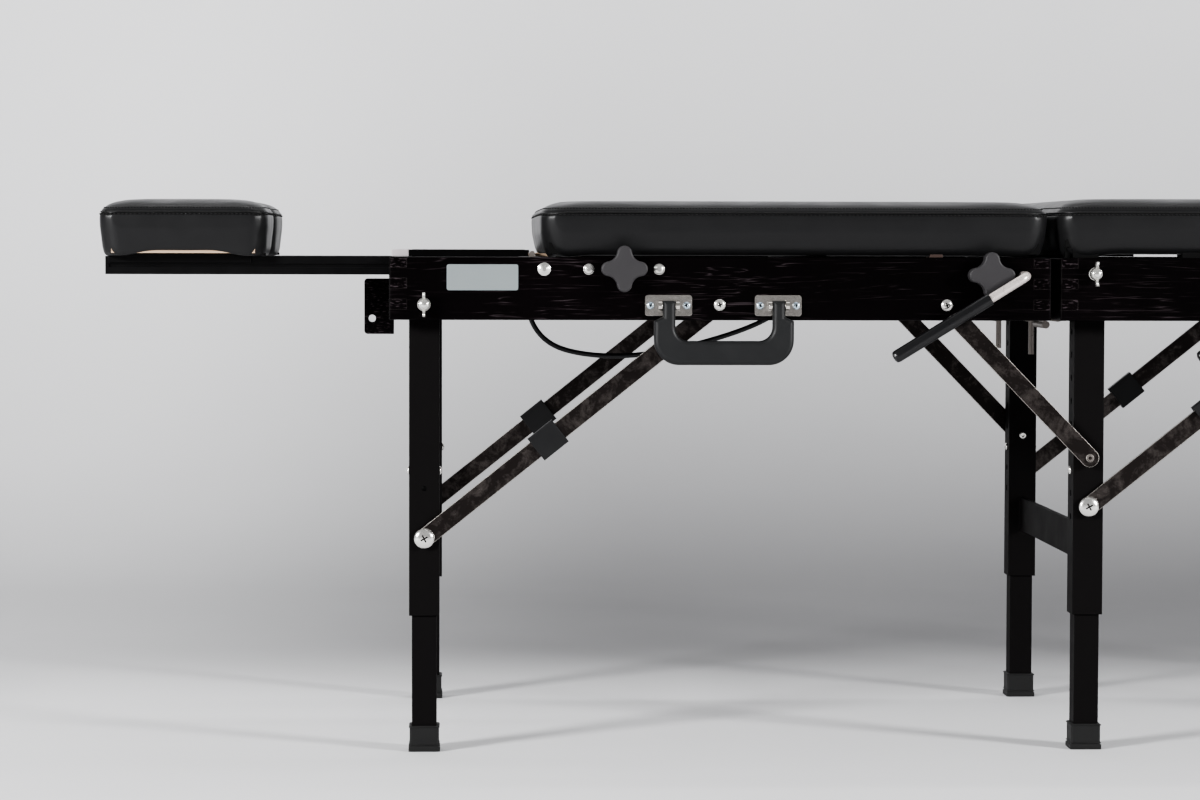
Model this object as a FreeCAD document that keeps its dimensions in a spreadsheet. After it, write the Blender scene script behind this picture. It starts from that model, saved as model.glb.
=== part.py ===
import FreeCAD, Part
import math
import os

import Sketcher
from FreeCAD import Placement, Rotation, Vector

# Folding adjusting table with a sliding headpiece, modelled in millimetres.
# X runs from the head end to the foot end, Y from the near side to the far side, Z up.
# The origin lies on the floor under the middle of the whole table.

DOCUMENT = FreeCAD.newDocument("adjusting_table")
SHEET = DOCUMENT.addObject("Spreadsheet::Sheet", "sizes")

# Driving dimensions

DRIVING_SIZES = (
    # wooden frames of the two halves
    ("half_length", 717.0),
    ("half_gap", 10.0),
    ("frame_width", 538.0),
    ("frame_bottom", 472.0),
    ("rail_thickness", 19.0),
    ("rail_edge_radius", 2.0),
    ("cross_rail_start", 145.0),
    ("second_cross_rail_start", 455.0),
    # fits shared by every piece
    ("running_fit", 0.08),
    ("seat_gap", 0.3),
    ("overrun", 5.0),
    # folding legs
    ("leg_tube", 33.0),
    ("leg_wall", 2.0),
    ("leg_end_clearance", 2.0),
    ("leg_room_below", 0.2),
    ("leg_room_above", 0.6),
    ("layer_gap", 1.2),
    ("tube_end_drop", 323.0),
    ("first_hole_drop", 216.0),
    ("hole_pitch", 25.4),
    ("hole_radius", 3.75),
    ("pivot_bolt_radius", 4.0),
    ("pivot_spacer_radius", 7.0),
    ("nut_height", 5.0),
    ("crossbar_middle_drop", 246.5),
    ("crossbar_height", 40.0),
    ("crossbar_thickness", 5.0),
    # telescoping legs and their rubber feet
    ("inner_play", 1.0),
    ("inner_wall", 1.5),
    ("inner_top_drop", 136.0),
    ("glide_height", 20.0),
    ("foot_height", 28.0),
    ("foot_sole", 6.0),
    ("foot_wall", 2.5),
    ("foot_flare", 1.2),
    ("foot_lip_height", 5.0),
    # knee braces with their sliding lock sleeves
    ("brace_end_gap", 2.0),
    ("brace_drop", 255.0),
    ("bar_width", 20.0),
    ("bar_thickness", 2.5),
    ("bar_play", 0.25),
    ("knee_spacer", 2.8),
    ("knee_spacer_radius", 8.0),
    ("knee_rivet_radius", 2.5),
    ("sleeve_length", 33.5),
    ("sleeve_width", 30.0),
    ("sleeve_bore_width", 23.0),
    ("sleeve_wall", 1.2),
    ("sleeve_clearance", 0.4),
    ("sleeve_edge_radius", 1.0),
    ("brace_bolt_radius", 3.0),
    ("brace_bolt_head_radius", 6.2),
    ("brace_bolt_head_height", 2.2),
    ("leg_screw_radius", 4.0),
    ("leg_screw_head_radius", 10.8),
    ("leg_screw_head_height", 2.5),
    ("leg_screw_rim_height", 1.0),
    ("leg_screw_crown_radius", 6.5),
    # struts between the head half and the middle legs
    ("strut_inset", 114.0),
    ("strut_foot_rise", 53.7),
    ("strut_boss_radius", 7.0),
    ("strut_rivet_radius", 4.0),
    ("strut_rivet_height", 1.4),
    # butt hinges under the junction of the halves
    ("hinge_side_gap", 44.0),
    ("hinge_length", 65.0),
    ("hinge_leaf", 1.5),
    ("hinge_leaf_width", 17.0),
    ("hinge_pin_radius", 2.5),
    ("hinge_knuckle_radius", 4.2),
    ("guide_rod_radius", 3.2),
    ("guide_rod_inset", 23.0),
    ("guide_rod_drop", 41.0),
    ("guide_rod_length", 69.0),
    # latch tab on the head end
    ("latch_width", 34.0),
    ("latch_drop", 22.0),
    ("latch_height", 64.0),
    ("latch_thickness", 12.0),
    ("latch_corner_radius", 4.0),
    ("latch_hole_radius", 4.25),
    ("latch_hole_inset", 9.0),
    ("latch_hole_rise", 18.0),
    # face screws and wing nuts
    ("washer_radius", 7.1),
    ("washer_height", 2.0),
    ("face_screw_radius", 2.5),
    ("face_screw_head_radius", 5.9),
    ("face_screw_head_height", 2.8),
    ("face_screw_drop", 13.0),
    ("first_screw_step", 86.0),
    ("face_screw_step", 38.0),
    ("wing_nut_hub_radius", 6.0),
    ("wing_nut_hub_height", 9.0),
    ("wing_nut_span", 26.0),
    ("wing_nut_tip_height", 16.0),
    ("wing_thickness", 3.0),
    ("bolt_tip_height", 4.0),
    # clamp knobs
    ("knob_height", 15.5),
    ("knob_stem_radius", 4.0),
    ("knob_stem_clearance", 0.3),
    ("knob_collar_radius", 9.0),
    ("knob_collar_height", 3.0),
    ("lobe_radius", 8.0),
    ("lobe_offset", 17.0),
    ("valley_radius", 12.0),
    ("valley_offset", 28.0),
    ("knob_edge_radius", 2.0),
    ("headrest_knob_x", 253.0),
    ("headrest_knob_drop", 12.6),
    ("drop_knob_drop", 18.8),
    # drop levers
    ("thoracic_lever_inset", 29.5),
    ("pelvic_lever_inset", 30.5),
    ("lever_drop", 19.4),
    ("lever_rod_radius", 5.0),
    ("lever_bend_radius", 8.0),
    ("lever_clearance", 4.7),
    ("lever_length", 141.0),
    ("lever_rise_back", 87.0),
    ("grip_radius", 6.9),
    ("grip_length", 122.0),
    ("grip_wall_end", 3.0),
    ("knob_to_lever", 36.0),
    # carrying handle
    ("handle_shift", 4.0),
    ("handle_pivot_rise", 16.0),
    ("handle_span", 151.0),
    ("handle_arm_width", 23.0),
    ("handle_neck_width", 13.6),
    ("handle_neck_inset", 9.0),
    ("handle_neck_length", 12.0),
    ("handle_top_rise", 5.0),
    ("handle_drop", 64.0),
    ("handle_bar_height", 26.0),
    ("handle_depth", 15.0),
    ("handle_outer_radius", 27.0),
    ("handle_inner_radius", 15.0),
    ("handle_edge_radius", 5.0),
    ("handle_standoff", 10.0),
    ("handle_pin_radius", 2.5),
    ("handle_plate_length", 50.8),
    ("handle_plate_height", 22.4),
    ("handle_plate_thickness", 2.0),
    ("handle_plate_radius", 3.0),
    ("handle_ear_thickness", 4.0),
    ("handle_ear_radius", 5.5),
    # headpiece rails and carriage
    ("headrest_rail_inset", 5.0),
    ("headrest_rail_end_gap", 105.0),
    ("headrest_rail_offset", 130.0),
    ("headrest_rail_width", 20.0),
    ("headrest_rail_height", 20.2),
    ("headrest_rail_drop", 20.5),
    ("rail_groove_height", 4.0),
    ("rail_groove_depth", 3.0),
    ("rail_cap", 3.0),
    ("slide_cover_width", 32.0),
    ("slide_cover_height", 7.2),
    ("slide_cover_rest", 8.0),
    ("carriage_inset", 9.0),
    ("carriage_length", 157.0),
    ("carriage_wall", 3.0),
    ("carriage_top_wall", 3.2),
    ("carriage_skirt", 7.0),
    ("carriage_plate_width", 40.0),
    ("carriage_tab", 17.0),
    ("carriage_tab_height", 3.0),
    ("headrest_board_end_inset", 14.0),
    ("headrest_board_thickness", 12.0),
    ("headrest_board_inset", 6.0),
    ("headrest_left", 322.0),
    ("headrest_length", 186.0),
    ("headrest_width", 340.0),
    ("headrest_gap", 46.0),
    ("headrest_cushion_height", 54.0),
    ("cushion_wrap", 4.0),
    # body sections
    ("thoracic_inset", 18.5),
    ("thoracic_end_inset", 1.5),
    ("junction_overhang", 1.5),
    ("pad_side_inset", 6.0),
    ("pad_thickness", 56.0),
    ("board_thickness", 12.0),
    ("board_inset", 9.0),
    ("thoracic_lift", 3.6),
    ("pelvic_lift", 8.4),
    ("rest_block_length", 40.0),
    ("rest_block_width", 30.0),
    ("narrow_rest_length", 14.0),
    ("thoracic_rest_inset", 129.0),
    ("pelvic_rest_inset", 17.5),
    ("pelvic_second_rest_inset", 137.5),
    ("pelvic_end_gap", 37.0),
    ("section_gap", 8.0),
    ("drop_hinge_radius", 3.0),
    ("drop_hinge_pin_radius", 1.5),
    ("drop_hinge_length", 50.0),
    ("drop_hinge_tongue_width", 36.0),
    # free cable under the head half
    ("cable_radius", 3.0),
    ("cable_offset", 60.0),
    ("cable_drift", 12.0),
    ("cable_end_inset", 7.0),
    ("cable_sag", 84.4),
)

FINGER_ROWS = 6
HOLES_PER_LEG = 9

# Shares of a cushion's height, and of its crown, from its underside to its top
CUSHION_HEIGHT_SHARES = (0.0, 0.06, 0.18, 0.34, 0.58, 0.74, 0.83, 0.895, 0.94, 0.97, 0.988, 1.0)
CUSHION_INSET_SHARES = (0.42, 0.20, 0.06, 0.0, 0.02, 0.09, 0.20, 0.38, 0.64, 1.05, 1.7, 2.6)
CROWN_SHARE = 0.42
CORNER_SHARE = 0.42
LARGEST_CORNER_SHARE = 0.36
DRAW_IN_SHARE = 0.05

# Shares of the cable's span and of its sag at each point, from the head end
CABLE_SPAN_SHARES = (0.0, 0.0, 0.024, 0.096, 0.22, 0.376, 0.532, 0.675, 0.818, 0.928, 1.0, 1.0)
CABLE_SAG_SHARES = (0.0, 0.265, 0.597, 0.858, 0.976, 1.0, 0.929, 0.805, 0.645, 0.47, 0.265, 0.0)


class Size:
    """A length with its value in millimetres and its formula over the sheet's cells."""

    def __init__(self, value, text):
        self.value = value
        self.text = text

    def combined(self, sign, other, value, swapped=False):
        first, second = (other, self) if swapped else (self, other)
        return Size(value, f"({first.text} {sign} {second.text})")

    def __add__(self, other):
        other = as_size(other)
        return self.combined("+", other, self.value + other.value)

    def __sub__(self, other):
        other = as_size(other)
        return self.combined("-", other, self.value - other.value)

    def __mul__(self, other):
        other = as_size(other)
        return self.combined("*", other, self.value * other.value)

    def __truediv__(self, other):
        other = as_size(other)
        return self.combined("/", other, self.value / other.value)

    def __rmul__(self, other):
        return as_size(other) * self

    def __neg__(self):
        return Size(-self.value, f"(-{self.text})")


def as_size(number):
    """A share or count as a Size, so that both kinds mix in one formula."""
    return number if isinstance(number, Size) else Size(float(number), repr(float(number)))


ZERO = Size(0.0, "0")


def hypotenuse(first, second):
    value = math.hypot(first.value, second.value)
    return Size(value, f"sqrt({first.text} ^ 2 + {second.text} ^ 2)")


def fill_sheet():
    """Write each driving dimension into its own row and return them by name."""
    sizes = {}
    for row, (name, value) in enumerate(DRIVING_SIZES, start=1):
        SHEET.set(f"A{row}", name)
        SHEET.set(f"B{row}", str(value))
        SHEET.setAlias(f"B{row}", name)
        sizes[name] = Size(value, f"sizes.{name}")
    DOCUMENT.recompute()
    return sizes


S = fill_sheet()

# Places that several pieces share

HALF_WIDTH = S["frame_width"] / 2
RAIL_INNER = HALF_WIDTH - S["rail_thickness"]

# A rail is as high as two folded legs, one over the other
LEGS_HEIGHT = S["leg_tube"] * 2 + S["layer_gap"]
RAIL_HEIGHT = S["leg_room_below"] + LEGS_HEIGHT + S["leg_room_above"]
FRAME_TOP = S["frame_bottom"] + RAIL_HEIGHT
FOOT_HALF_X = S["half_length"] + S["half_gap"]
TABLE_END_X = FOOT_HALF_X + S["half_length"]
HINGE_X = S["half_length"] + S["half_gap"] / 2
HINGE_START = RAIL_INNER - S["hinge_side_gap"] - S["hinge_length"]
HINGE_Z = S["frame_bottom"] - S["hinge_leaf"] - S["hinge_knuckle_radius"]

BAR_STACK = S["bar_thickness"] * 2 + S["knee_spacer"] + S["bar_play"] * 2
LEG_OUTER = RAIL_INNER - BAR_STACK - S["sleeve_wall"] * 2 - S["sleeve_clearance"] * 2
LEG_MIDDLE = LEG_OUTER - S["leg_tube"] / 2
LEG_INNER = LEG_OUTER - S["leg_tube"]
LOWER_BAR_Y = LEG_OUTER + S["sleeve_clearance"] + S["sleeve_wall"] + S["bar_play"]
UPPER_BAR_Y = LOWER_BAR_Y + S["bar_thickness"] + S["knee_spacer"]
UPPER_BAR_OUTER = UPPER_BAR_Y + S["bar_thickness"]

LOWER_PIVOT_Z = S["frame_bottom"] + S["leg_room_below"] + S["leg_tube"] / 2
UPPER_PIVOT_Z = LOWER_PIVOT_Z + S["leg_tube"] + S["layer_gap"]
PIVOT_INSET = S["rail_thickness"] + S["leg_end_clearance"] + S["leg_tube"] / 2

# Knee position from the two flat poses of the brace: straight when open, doubled when folded
BRACE_REACH = (S["half_length"] - PIVOT_INSET * 2) / 2 - S["brace_end_gap"]
BRACE_SPAN = hypotenuse(BRACE_REACH, S["brace_drop"])
BRACE_FOLDED = BRACE_REACH - S["brace_drop"]
LOWER_BAR = (BRACE_SPAN - BRACE_FOLDED) / 2
UPPER_BAR = (BRACE_SPAN + BRACE_FOLDED) / 2
BRACE_ANGLE = math.degrees(math.atan2(S["brace_drop"].value, BRACE_REACH.value))
STRUT_X = S["half_length"] - S["strut_inset"]
STRUT_FOOT_Z = UPPER_PIVOT_Z - S["brace_drop"] + S["strut_foot_rise"]
STRUT_DROP = LOWER_PIVOT_Z - STRUT_FOOT_Z

SEAT = S["seat_gap"]
INNER_TUBE = S["leg_tube"] - (S["leg_wall"] + S["inner_play"]) * 2

# Headpiece
HEADREST_LEFT = -S["headrest_left"]
SLIDE_LEFT = HEADREST_LEFT + S["headrest_rail_inset"]
SLIDE_RIGHT = S["second_cross_rail_start"] - S["headrest_rail_end_gap"]
SLIDE_BOTTOM = FRAME_TOP - S["headrest_rail_drop"]
SLIDE_TOP = SLIDE_BOTTOM + S["headrest_rail_height"] + SEAT
CARRIAGE_LEFT = HEADREST_LEFT + S["carriage_inset"]
CARRIAGE_TOP = SLIDE_TOP + S["carriage_top_wall"]

# Body sections
PAD_HALF_WIDTH = HALF_WIDTH - S["pad_side_inset"]
THORACIC_LEFT = S["cross_rail_start"] + S["thoracic_inset"]
THORACIC_RIGHT = S["half_length"] - S["thoracic_end_inset"]
THORACIC_HINGE_X = S["cross_rail_start"] + S["rail_thickness"] / 2
PELVIC_LEFT = FOOT_HALF_X - S["junction_overhang"]
PELVIC_RIGHT = FOOT_HALF_X + PIVOT_INSET + BRACE_REACH - S["pelvic_end_gap"]
PELVIC_HINGE_X = PELVIC_LEFT + S["board_inset"] + S["drop_hinge_radius"] + SEAT
FOOT_PAD_LEFT = PELVIC_RIGHT + S["section_gap"]

# Levers clear the knobs' faces on the outside
KNOB_START = HALF_WIDTH + S["knob_collar_height"] + SEAT
LEVER_PLANE = KNOB_START + S["knob_height"] + S["lever_clearance"] + S["lever_rod_radius"]
THORACIC_LEVER_X = THORACIC_RIGHT - S["thoracic_lever_inset"]
PELVIC_LEVER_X = PELVIC_RIGHT - S["pelvic_lever_inset"]

# The near lever stands furthest out, so it and the wing nuts on the far side set the middle in Y
NEAR_REACH = LEVER_PLANE + S["grip_radius"]
FAR_REACH = HALF_WIDTH + S["wing_nut_tip_height"] + S["washer_height"]
ORIGIN_X = (TABLE_END_X - S["headrest_left"]) / 2
ORIGIN_Y = (FAR_REACH - NEAR_REACH) / 2


class Leg:
    """Where one pair of legs hangs and which way it folds: +1 to the foot end, -1 to the head end."""

    def __init__(self, name, pivot_x, pivot_z, fold):
        self.name = name
        self.pivot_x = pivot_x
        self.pivot_z = pivot_z
        self.fold = fold

    def brace_angle(self):
        return BRACE_ANGLE if self.fold > 0 else 180.0 - BRACE_ANGLE

    def along_brace(self, distance):
        """Position in X and Z of a point on the straight brace, from its lower end."""
        angle = math.radians(self.brace_angle())
        x = self.pivot_x.value + distance.value * math.cos(angle)
        z = self.pivot_z.value - S["brace_drop"].value + distance.value * math.sin(angle)
        return x, z

    def brace_bolt_x(self):
        return self.pivot_x + BRACE_REACH * self.fold


LEGS = (
    Leg("head", PIVOT_INSET, LOWER_PIVOT_Z, 1),
    Leg("middle", FOOT_HALF_X + PIVOT_INSET, UPPER_PIVOT_Z, 1),
    Leg("foot", TABLE_END_X - PIVOT_INSET, LOWER_PIVOT_Z, -1),
)
HEAD_LEG, MIDDLE_LEG, FOOT_LEG = LEGS
HANDLE_X = HEAD_LEG.brace_bolt_x() + S["handle_shift"]


# Building blocks


def number(size):
    return size.value if isinstance(size, Size) else float(size)


def put(obj, x, y, z, axis=Vector(0, 0, 1), angle=0.0):
    """Place an object by table coordinates: X from the head end, Y from the middle, Z from the floor."""
    base = Vector(number(x) - ORIGIN_X.value, number(y) - ORIGIN_Y.value, number(z))
    obj.Placement = Placement(base, Rotation(axis, angle))
    return obj


def bind(obj, **sizes):
    for prop, size in sizes.items():
        setattr(obj, prop, as_size(size).value)
        obj.setExpression(prop, as_size(size).text)
    return obj


def block(name, length, width, height, x, y, z):
    """A box whose lowest corner is at x, y, z."""
    box = DOCUMENT.addObject("Part::Box", name)
    bind(box, Length=length, Width=width, Height=height)
    return put(box, x, y, z)


def rod(name, radius, length, x, y, z, axis=Vector(0, 0, 1), angle=0.0):
    """A round bar that starts at x, y, z and runs along its own Z axis."""
    cylinder = DOCUMENT.addObject("Part::Cylinder", name)
    bind(cylinder, Radius=radius, Height=length)
    return put(cylinder, x, y, z, axis, angle)


def outward_rod(name, radius, length, x, start, z):
    """A round bar on the near side, running outward along -Y from a distance off the middle plane."""
    return rod(name, radius, length, x, -start, z, Vector(1, 0, 0), 90.0)


def fused(name, pieces):
    fusion = DOCUMENT.addObject("Part::MultiFuse", name)
    fusion.Shapes = list(pieces)
    return fusion


def cut(name, base, tool):
    result = DOCUMENT.addObject("Part::Cut", name)
    result.Base = base
    result.Tool = tool
    return result


def group(name, pieces):
    compound = DOCUMENT.addObject("Part::Compound", name)
    compound.Links = list(pieces)
    return compound


def far_copy(name, source):
    """The same piece mirrored in the table's middle plane."""
    mirror = DOCUMENT.addObject("Part::Mirroring", name)
    mirror.Source = source
    mirror.Normal = Vector(0, 1, 0)
    mirror.Base = Vector(0, -ORIGIN_Y.value, 0)
    return mirror


def both_sides(name, pieces):
    """The near pieces and their far copies as one group."""
    pieces = list(pieces)
    copies = [far_copy(f"{piece.Name}_far_side", piece) for piece in pieces]
    return group(name, pieces + copies)


def new_body(name):
    body = DOCUMENT.addObject("PartDesign::Body", name)
    body.Label = name
    return body


def new_sketch(body, role, name):
    sketch = body.newObject("Sketcher::SketchObject", name)
    plane = next(item for item in body.Origin.OriginFeatures if item.Role == role)
    sketch.AttachmentSupport = [(plane, "")]
    sketch.MapMode = "FlatFace"
    return sketch


def fix_point(sketch, geometry, point, x, y):
    """Hold one point of a sketch at two bound distances from the sketch's origin."""
    for kind, size in (("DistanceX", x), ("DistanceY", y)):
        if size.value == 0 and size.text == "0":
            axis = -2 if kind == "DistanceX" else -1
            sketch.addConstraint(Sketcher.Constraint("PointOnObject", geometry, point, axis))
            continue
        index = sketch.addConstraint(
            Sketcher.Constraint(kind, -1, 1, geometry, point, size.value)
        )
        sketch.setExpression(f"Constraints[{index}]", size.text)


def draw_outline(sketch, corners):
    """A closed outline of straight edges through the corners."""
    first = sketch.GeometryCount
    points = [Vector(x.value, y.value, 0) for x, y in corners]
    count = len(points)
    for index, point in enumerate(points):
        sketch.addGeometry(Part.LineSegment(point, points[(index + 1) % count]), False)
    for index in range(count):
        following = first + (index + 1) % count
        sketch.addConstraint(Sketcher.Constraint("Coincident", first + index, 2, following, 1))
    for index, (x, y) in enumerate(corners):
        fix_point(sketch, first + index, 1, x, y)


def draw_rectangle(sketch, low_x, low_y, high_x, high_y):
    draw_outline(sketch, [(low_x, low_y), (high_x, low_y), (high_x, high_y), (low_x, high_y)])


def draw_circle(sketch, x, y, radius):
    index = sketch.addGeometry(
        Part.Circle(Vector(x.value, y.value, 0), Vector(0, 0, 1), radius.value), False
    )
    fix_point(sketch, index, 3, x, y)
    constraint = sketch.addConstraint(Sketcher.Constraint("Radius", index, radius.value))
    sketch.setExpression(f"Constraints[{constraint}]", radius.text)


def draw_slot(sketch, length, radius):
    """The outline of a flat bar with half-round ends centred on the origin and on length."""
    reach, half = length.value, radius.value
    end_circle = Part.Circle(Vector(reach, 0, 0), Vector(0, 0, 1), half)
    start_circle = Part.Circle(Vector(0, 0, 0), Vector(0, 0, 1), half)
    low = sketch.addGeometry(Part.LineSegment(Vector(0, -half, 0), Vector(reach, -half, 0)))
    end = sketch.addGeometry(Part.ArcOfCircle(end_circle, -math.pi / 2, math.pi / 2))
    high = sketch.addGeometry(Part.LineSegment(Vector(reach, half, 0), Vector(0, half, 0)))
    start = sketch.addGeometry(Part.ArcOfCircle(start_circle, math.pi / 2, 3 * math.pi / 2))
    sketch.addConstraint(
        [
            Sketcher.Constraint("Tangent", low, 2, end, 1),
            Sketcher.Constraint("Tangent", end, 2, high, 1),
            Sketcher.Constraint("Tangent", high, 2, start, 1),
            Sketcher.Constraint("Tangent", start, 2, low, 1),
            Sketcher.Constraint("Coincident", start, 3, -1, 1),
            Sketcher.Constraint("PointOnObject", end, 3, -1),
        ]
    )
    distance = sketch.addConstraint(Sketcher.Constraint("DistanceX", -1, 1, end, 3, length.value))
    sketch.setExpression(f"Constraints[{distance}]", length.text)
    round_end = sketch.addConstraint(Sketcher.Constraint("Radius", end, radius.value))
    sketch.setExpression(f"Constraints[{round_end}]", radius.text)


def pad(body, sketch, length, reversed_side=False, name="Pad"):
    feature = body.newObject("PartDesign::Pad", name)
    feature.Profile = sketch
    bind(feature, Length=length)
    feature.Reversed = reversed_side
    return feature


def pocket(body, sketch, depth, reversed_side=False, name="Pocket"):
    """A cut that has to take material away."""
    DOCUMENT.recompute()
    before = body.Shape.Volume
    feature = body.newObject("PartDesign::Pocket", name)
    feature.Profile = sketch
    bind(feature, Length=depth)
    feature.Reversed = reversed_side
    DOCUMENT.recompute()
    if not body.Shape.Volume < before:
        raise ValueError(f"{body.Name}: the pocket {name} cuts nothing")
    return feature


def edges_along(shape, direction, wanted=None):
    """Names of the straight edges parallel to a direction that satisfy a test on their midpoint."""
    names = []
    for index, edge in enumerate(shape.Edges, start=1):
        if edge.Curve.TypeId != "Part::GeomLine":
            continue
        if edge.Curve.Direction.cross(direction).Length > 1e-6:
            continue
        middle = edge.valueAt((edge.FirstParameter + edge.LastParameter) / 2)
        if wanted is None or wanted(middle):
            names.append(f"Edge{index}")
    return names


def round_edges(body, radius, direction, wanted=None, name="Fillet"):
    """Round the straight edges of a body's last feature that run one way."""
    DOCUMENT.recompute()
    base = body.Tip
    feature = body.newObject("PartDesign::Fillet", name)
    feature.Base = (base, edges_along(base.Shape, direction, wanted))
    bind(feature, Radius=radius)
    return feature


def turned(name, steps, x, start, z):
    """A turned piece on the near side: radii and distances outward from a plane off the middle."""
    body = new_body(name)
    sketch = new_sketch(body, "XZ_Plane", f"{name}_profile")
    corners = [(ZERO, steps[0][1])] + list(steps) + [(ZERO, steps[-1][1])]
    draw_outline(sketch, corners)
    feature = body.newObject("PartDesign::Revolution", "Revolution")
    feature.Profile = sketch
    feature.ReferenceAxis = (sketch, ["V_Axis"])
    feature.Angle = 360.0
    return put(body, x, -start, z, Vector(1, 0, 0), 90.0)


# Wooden frames


def comb_outline(length, height, depth, first_is_tooth):
    """The side view of a rail whose ends have fingers that mesh with the next rail's."""
    corners = []
    for row in range(FINGER_ROWS):
        is_tooth = (row % 2 == 0) == first_is_tooth
        x = length if is_tooth else length - depth
        corners += [(x, height * (row / FINGER_ROWS)), (x, height * ((row + 1) / FINGER_ROWS))]
    for row in reversed(range(FINGER_ROWS)):
        is_tooth = (row % 2 == 0) == first_is_tooth
        x = ZERO if is_tooth else depth
        corners += [(x, height * ((row + 1) / FINGER_ROWS)), (x, height * (row / FINGER_ROWS))]
    return corners


def exact(corners):
    """Corners at height nought are held on the axis itself."""
    return [(x, ZERO if y.value == 0 else y) for x, y in corners]


def near_to(value, target):
    return abs(value - target) < 1e-6


def soften(body, on_outside, ends, along, height):
    """Round a rail's outer edges: its long ones and those round its end teeth."""
    DOCUMENT.recompute()
    base = body.Tip
    names = []
    for index, edge in enumerate(base.Shape.Edges, start=1):
        if edge.Curve.TypeId != "Part::GeomLine":
            continue
        first, last = (vertex.Point for vertex in edge.Vertexes)
        level = [z for z in (0.0, height) if near_to(first.z, z) and near_to(last.z, z)]
        end = [x for x in ends if near_to(along(first), x) and near_to(along(last), x)]
        outside = on_outside(first) and on_outside(last)
        if (outside and (level or end)) or (level and end):
            names.append(f"Edge{index}")
    feature = body.newObject("PartDesign::Fillet", "SoftEdges")
    feature.Base = (base, names)
    bind(feature, Radius=S["rail_edge_radius"])


def side_rail(name, start_x, far, holes):
    """A long rail; holes are (x, z, radius) in table coordinates."""
    length, height, thickness = S["half_length"], RAIL_HEIGHT, S["rail_thickness"]
    body = new_body(name)
    sketch = new_sketch(body, "XZ_Plane", f"{name}_outline")
    draw_outline(sketch, exact(comb_outline(length, height, thickness, True)))
    for x, z, radius in holes:
        draw_circle(sketch, x - start_x, z - S["frame_bottom"], radius)
    pad(body, sketch, thickness)
    outside = 0.0 if far else -thickness.value
    soften(body, lambda p: near_to(p.y, outside), (0.0, length.value), lambda p: p.x, height.value)
    inner_face = HALF_WIDTH if far else -RAIL_INNER
    return put(body, start_x, inner_face, S["frame_bottom"])


def end_rail(name, start_x, towards_foot, notched=False):
    width, height, thickness = S["frame_width"], RAIL_HEIGHT, S["rail_thickness"]
    body = new_body(name)
    sketch = new_sketch(body, "YZ_Plane", f"{name}_outline")
    draw_outline(sketch, exact(comb_outline(width, height, thickness, False)))
    pad(body, sketch, thickness)
    outside = thickness.value if towards_foot else 0.0
    soften(body, lambda p: near_to(p.x, outside), (0.0, width.value), lambda p: p.y, height.value)
    if notched:
        rail_notches(body, name, HALF_WIDTH)
    return put(body, start_x, -HALF_WIDTH, S["frame_bottom"])


def rail_notches(body, name, middle):
    """Open notches that the two headpiece rails run through; middle is the rail's own centre."""
    sketch = new_sketch(body, "YZ_Plane", f"{name}_notches")
    floor = SLIDE_BOTTOM - SEAT - S["frame_bottom"]
    half = S["headrest_rail_width"] / 2 + SEAT
    for offset in (-S["headrest_rail_offset"], S["headrest_rail_offset"]):
        centre = middle + offset
        draw_rectangle(sketch, centre - half, floor, centre + half, RAIL_HEIGHT + S["overrun"])
    pocket(body, sketch, S["rail_thickness"], reversed_side=True, name="Notches")


def cross_rail(name, start_x, notched):
    body = new_body(name)
    sketch = new_sketch(body, "YZ_Plane", f"{name}_outline")
    bottom = UPPER_PIVOT_Z - S["leg_tube"] / 2 - S["frame_bottom"]
    draw_rectangle(sketch, -RAIL_INNER, bottom, RAIL_INNER, RAIL_HEIGHT)
    pad(body, sketch, S["rail_thickness"])
    if notched:
        rail_notches(body, name, ZERO)
    return put(body, start_x, ZERO, S["frame_bottom"])


def bolt_hole(x, z):
    return x, z, S["brace_bolt_radius"] + S["running_fit"]


def pivot_hole(leg):
    return leg.pivot_x, leg.pivot_z, S["pivot_bolt_radius"] + S["running_fit"]


def screw_hole(x):
    return x, FACE_SCREW_Z, S["face_screw_radius"] + S["running_fit"]


LEVER_Z = FRAME_TOP - S["lever_drop"]
DROP_KNOB_Z = FRAME_TOP - S["drop_knob_drop"]
HEADREST_KNOB_Z = FRAME_TOP - S["headrest_knob_drop"]
FACE_SCREW_Z = FRAME_TOP - S["face_screw_drop"]
THORACIC_KNOB_X = THORACIC_LEVER_X - S["knob_to_lever"]
PELVIC_KNOB_X = PELVIC_LEVER_X - S["knob_to_lever"]
HEADREST_KNOB_X = S["headrest_knob_x"]
FACE_SCREWS = (
    HEADREST_KNOB_X - S["first_screw_step"],
    HEADREST_KNOB_X - S["face_screw_step"],
    HEADREST_KNOB_X + S["face_screw_step"],
)


def head_side_holes(near):
    holes = [pivot_hole(HEAD_LEG), bolt_hole(HEAD_LEG.brace_bolt_x(), HEAD_LEG.pivot_z)]
    holes.append(bolt_hole(STRUT_X, LOWER_PIVOT_Z))
    holes += [screw_hole(x) for x in FACE_SCREWS]
    if near:
        stem = S["knob_stem_radius"] + S["knob_stem_clearance"]
        holes.append((HEADREST_KNOB_X, HEADREST_KNOB_Z, stem))
        holes.append((THORACIC_KNOB_X, DROP_KNOB_Z, stem))
        holes.append((THORACIC_LEVER_X, LEVER_Z, S["lever_rod_radius"] + SEAT))
    return holes


def foot_side_holes(near):
    holes = []
    for leg in (MIDDLE_LEG, FOOT_LEG):
        holes += [pivot_hole(leg), bolt_hole(leg.brace_bolt_x(), leg.pivot_z)]
    if near:
        holes.append((PELVIC_KNOB_X, DROP_KNOB_Z, S["knob_stem_radius"] + S["knob_stem_clearance"]))
        holes.append((PELVIC_LEVER_X, LEVER_Z, S["lever_rod_radius"] + SEAT))
    return holes


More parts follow.
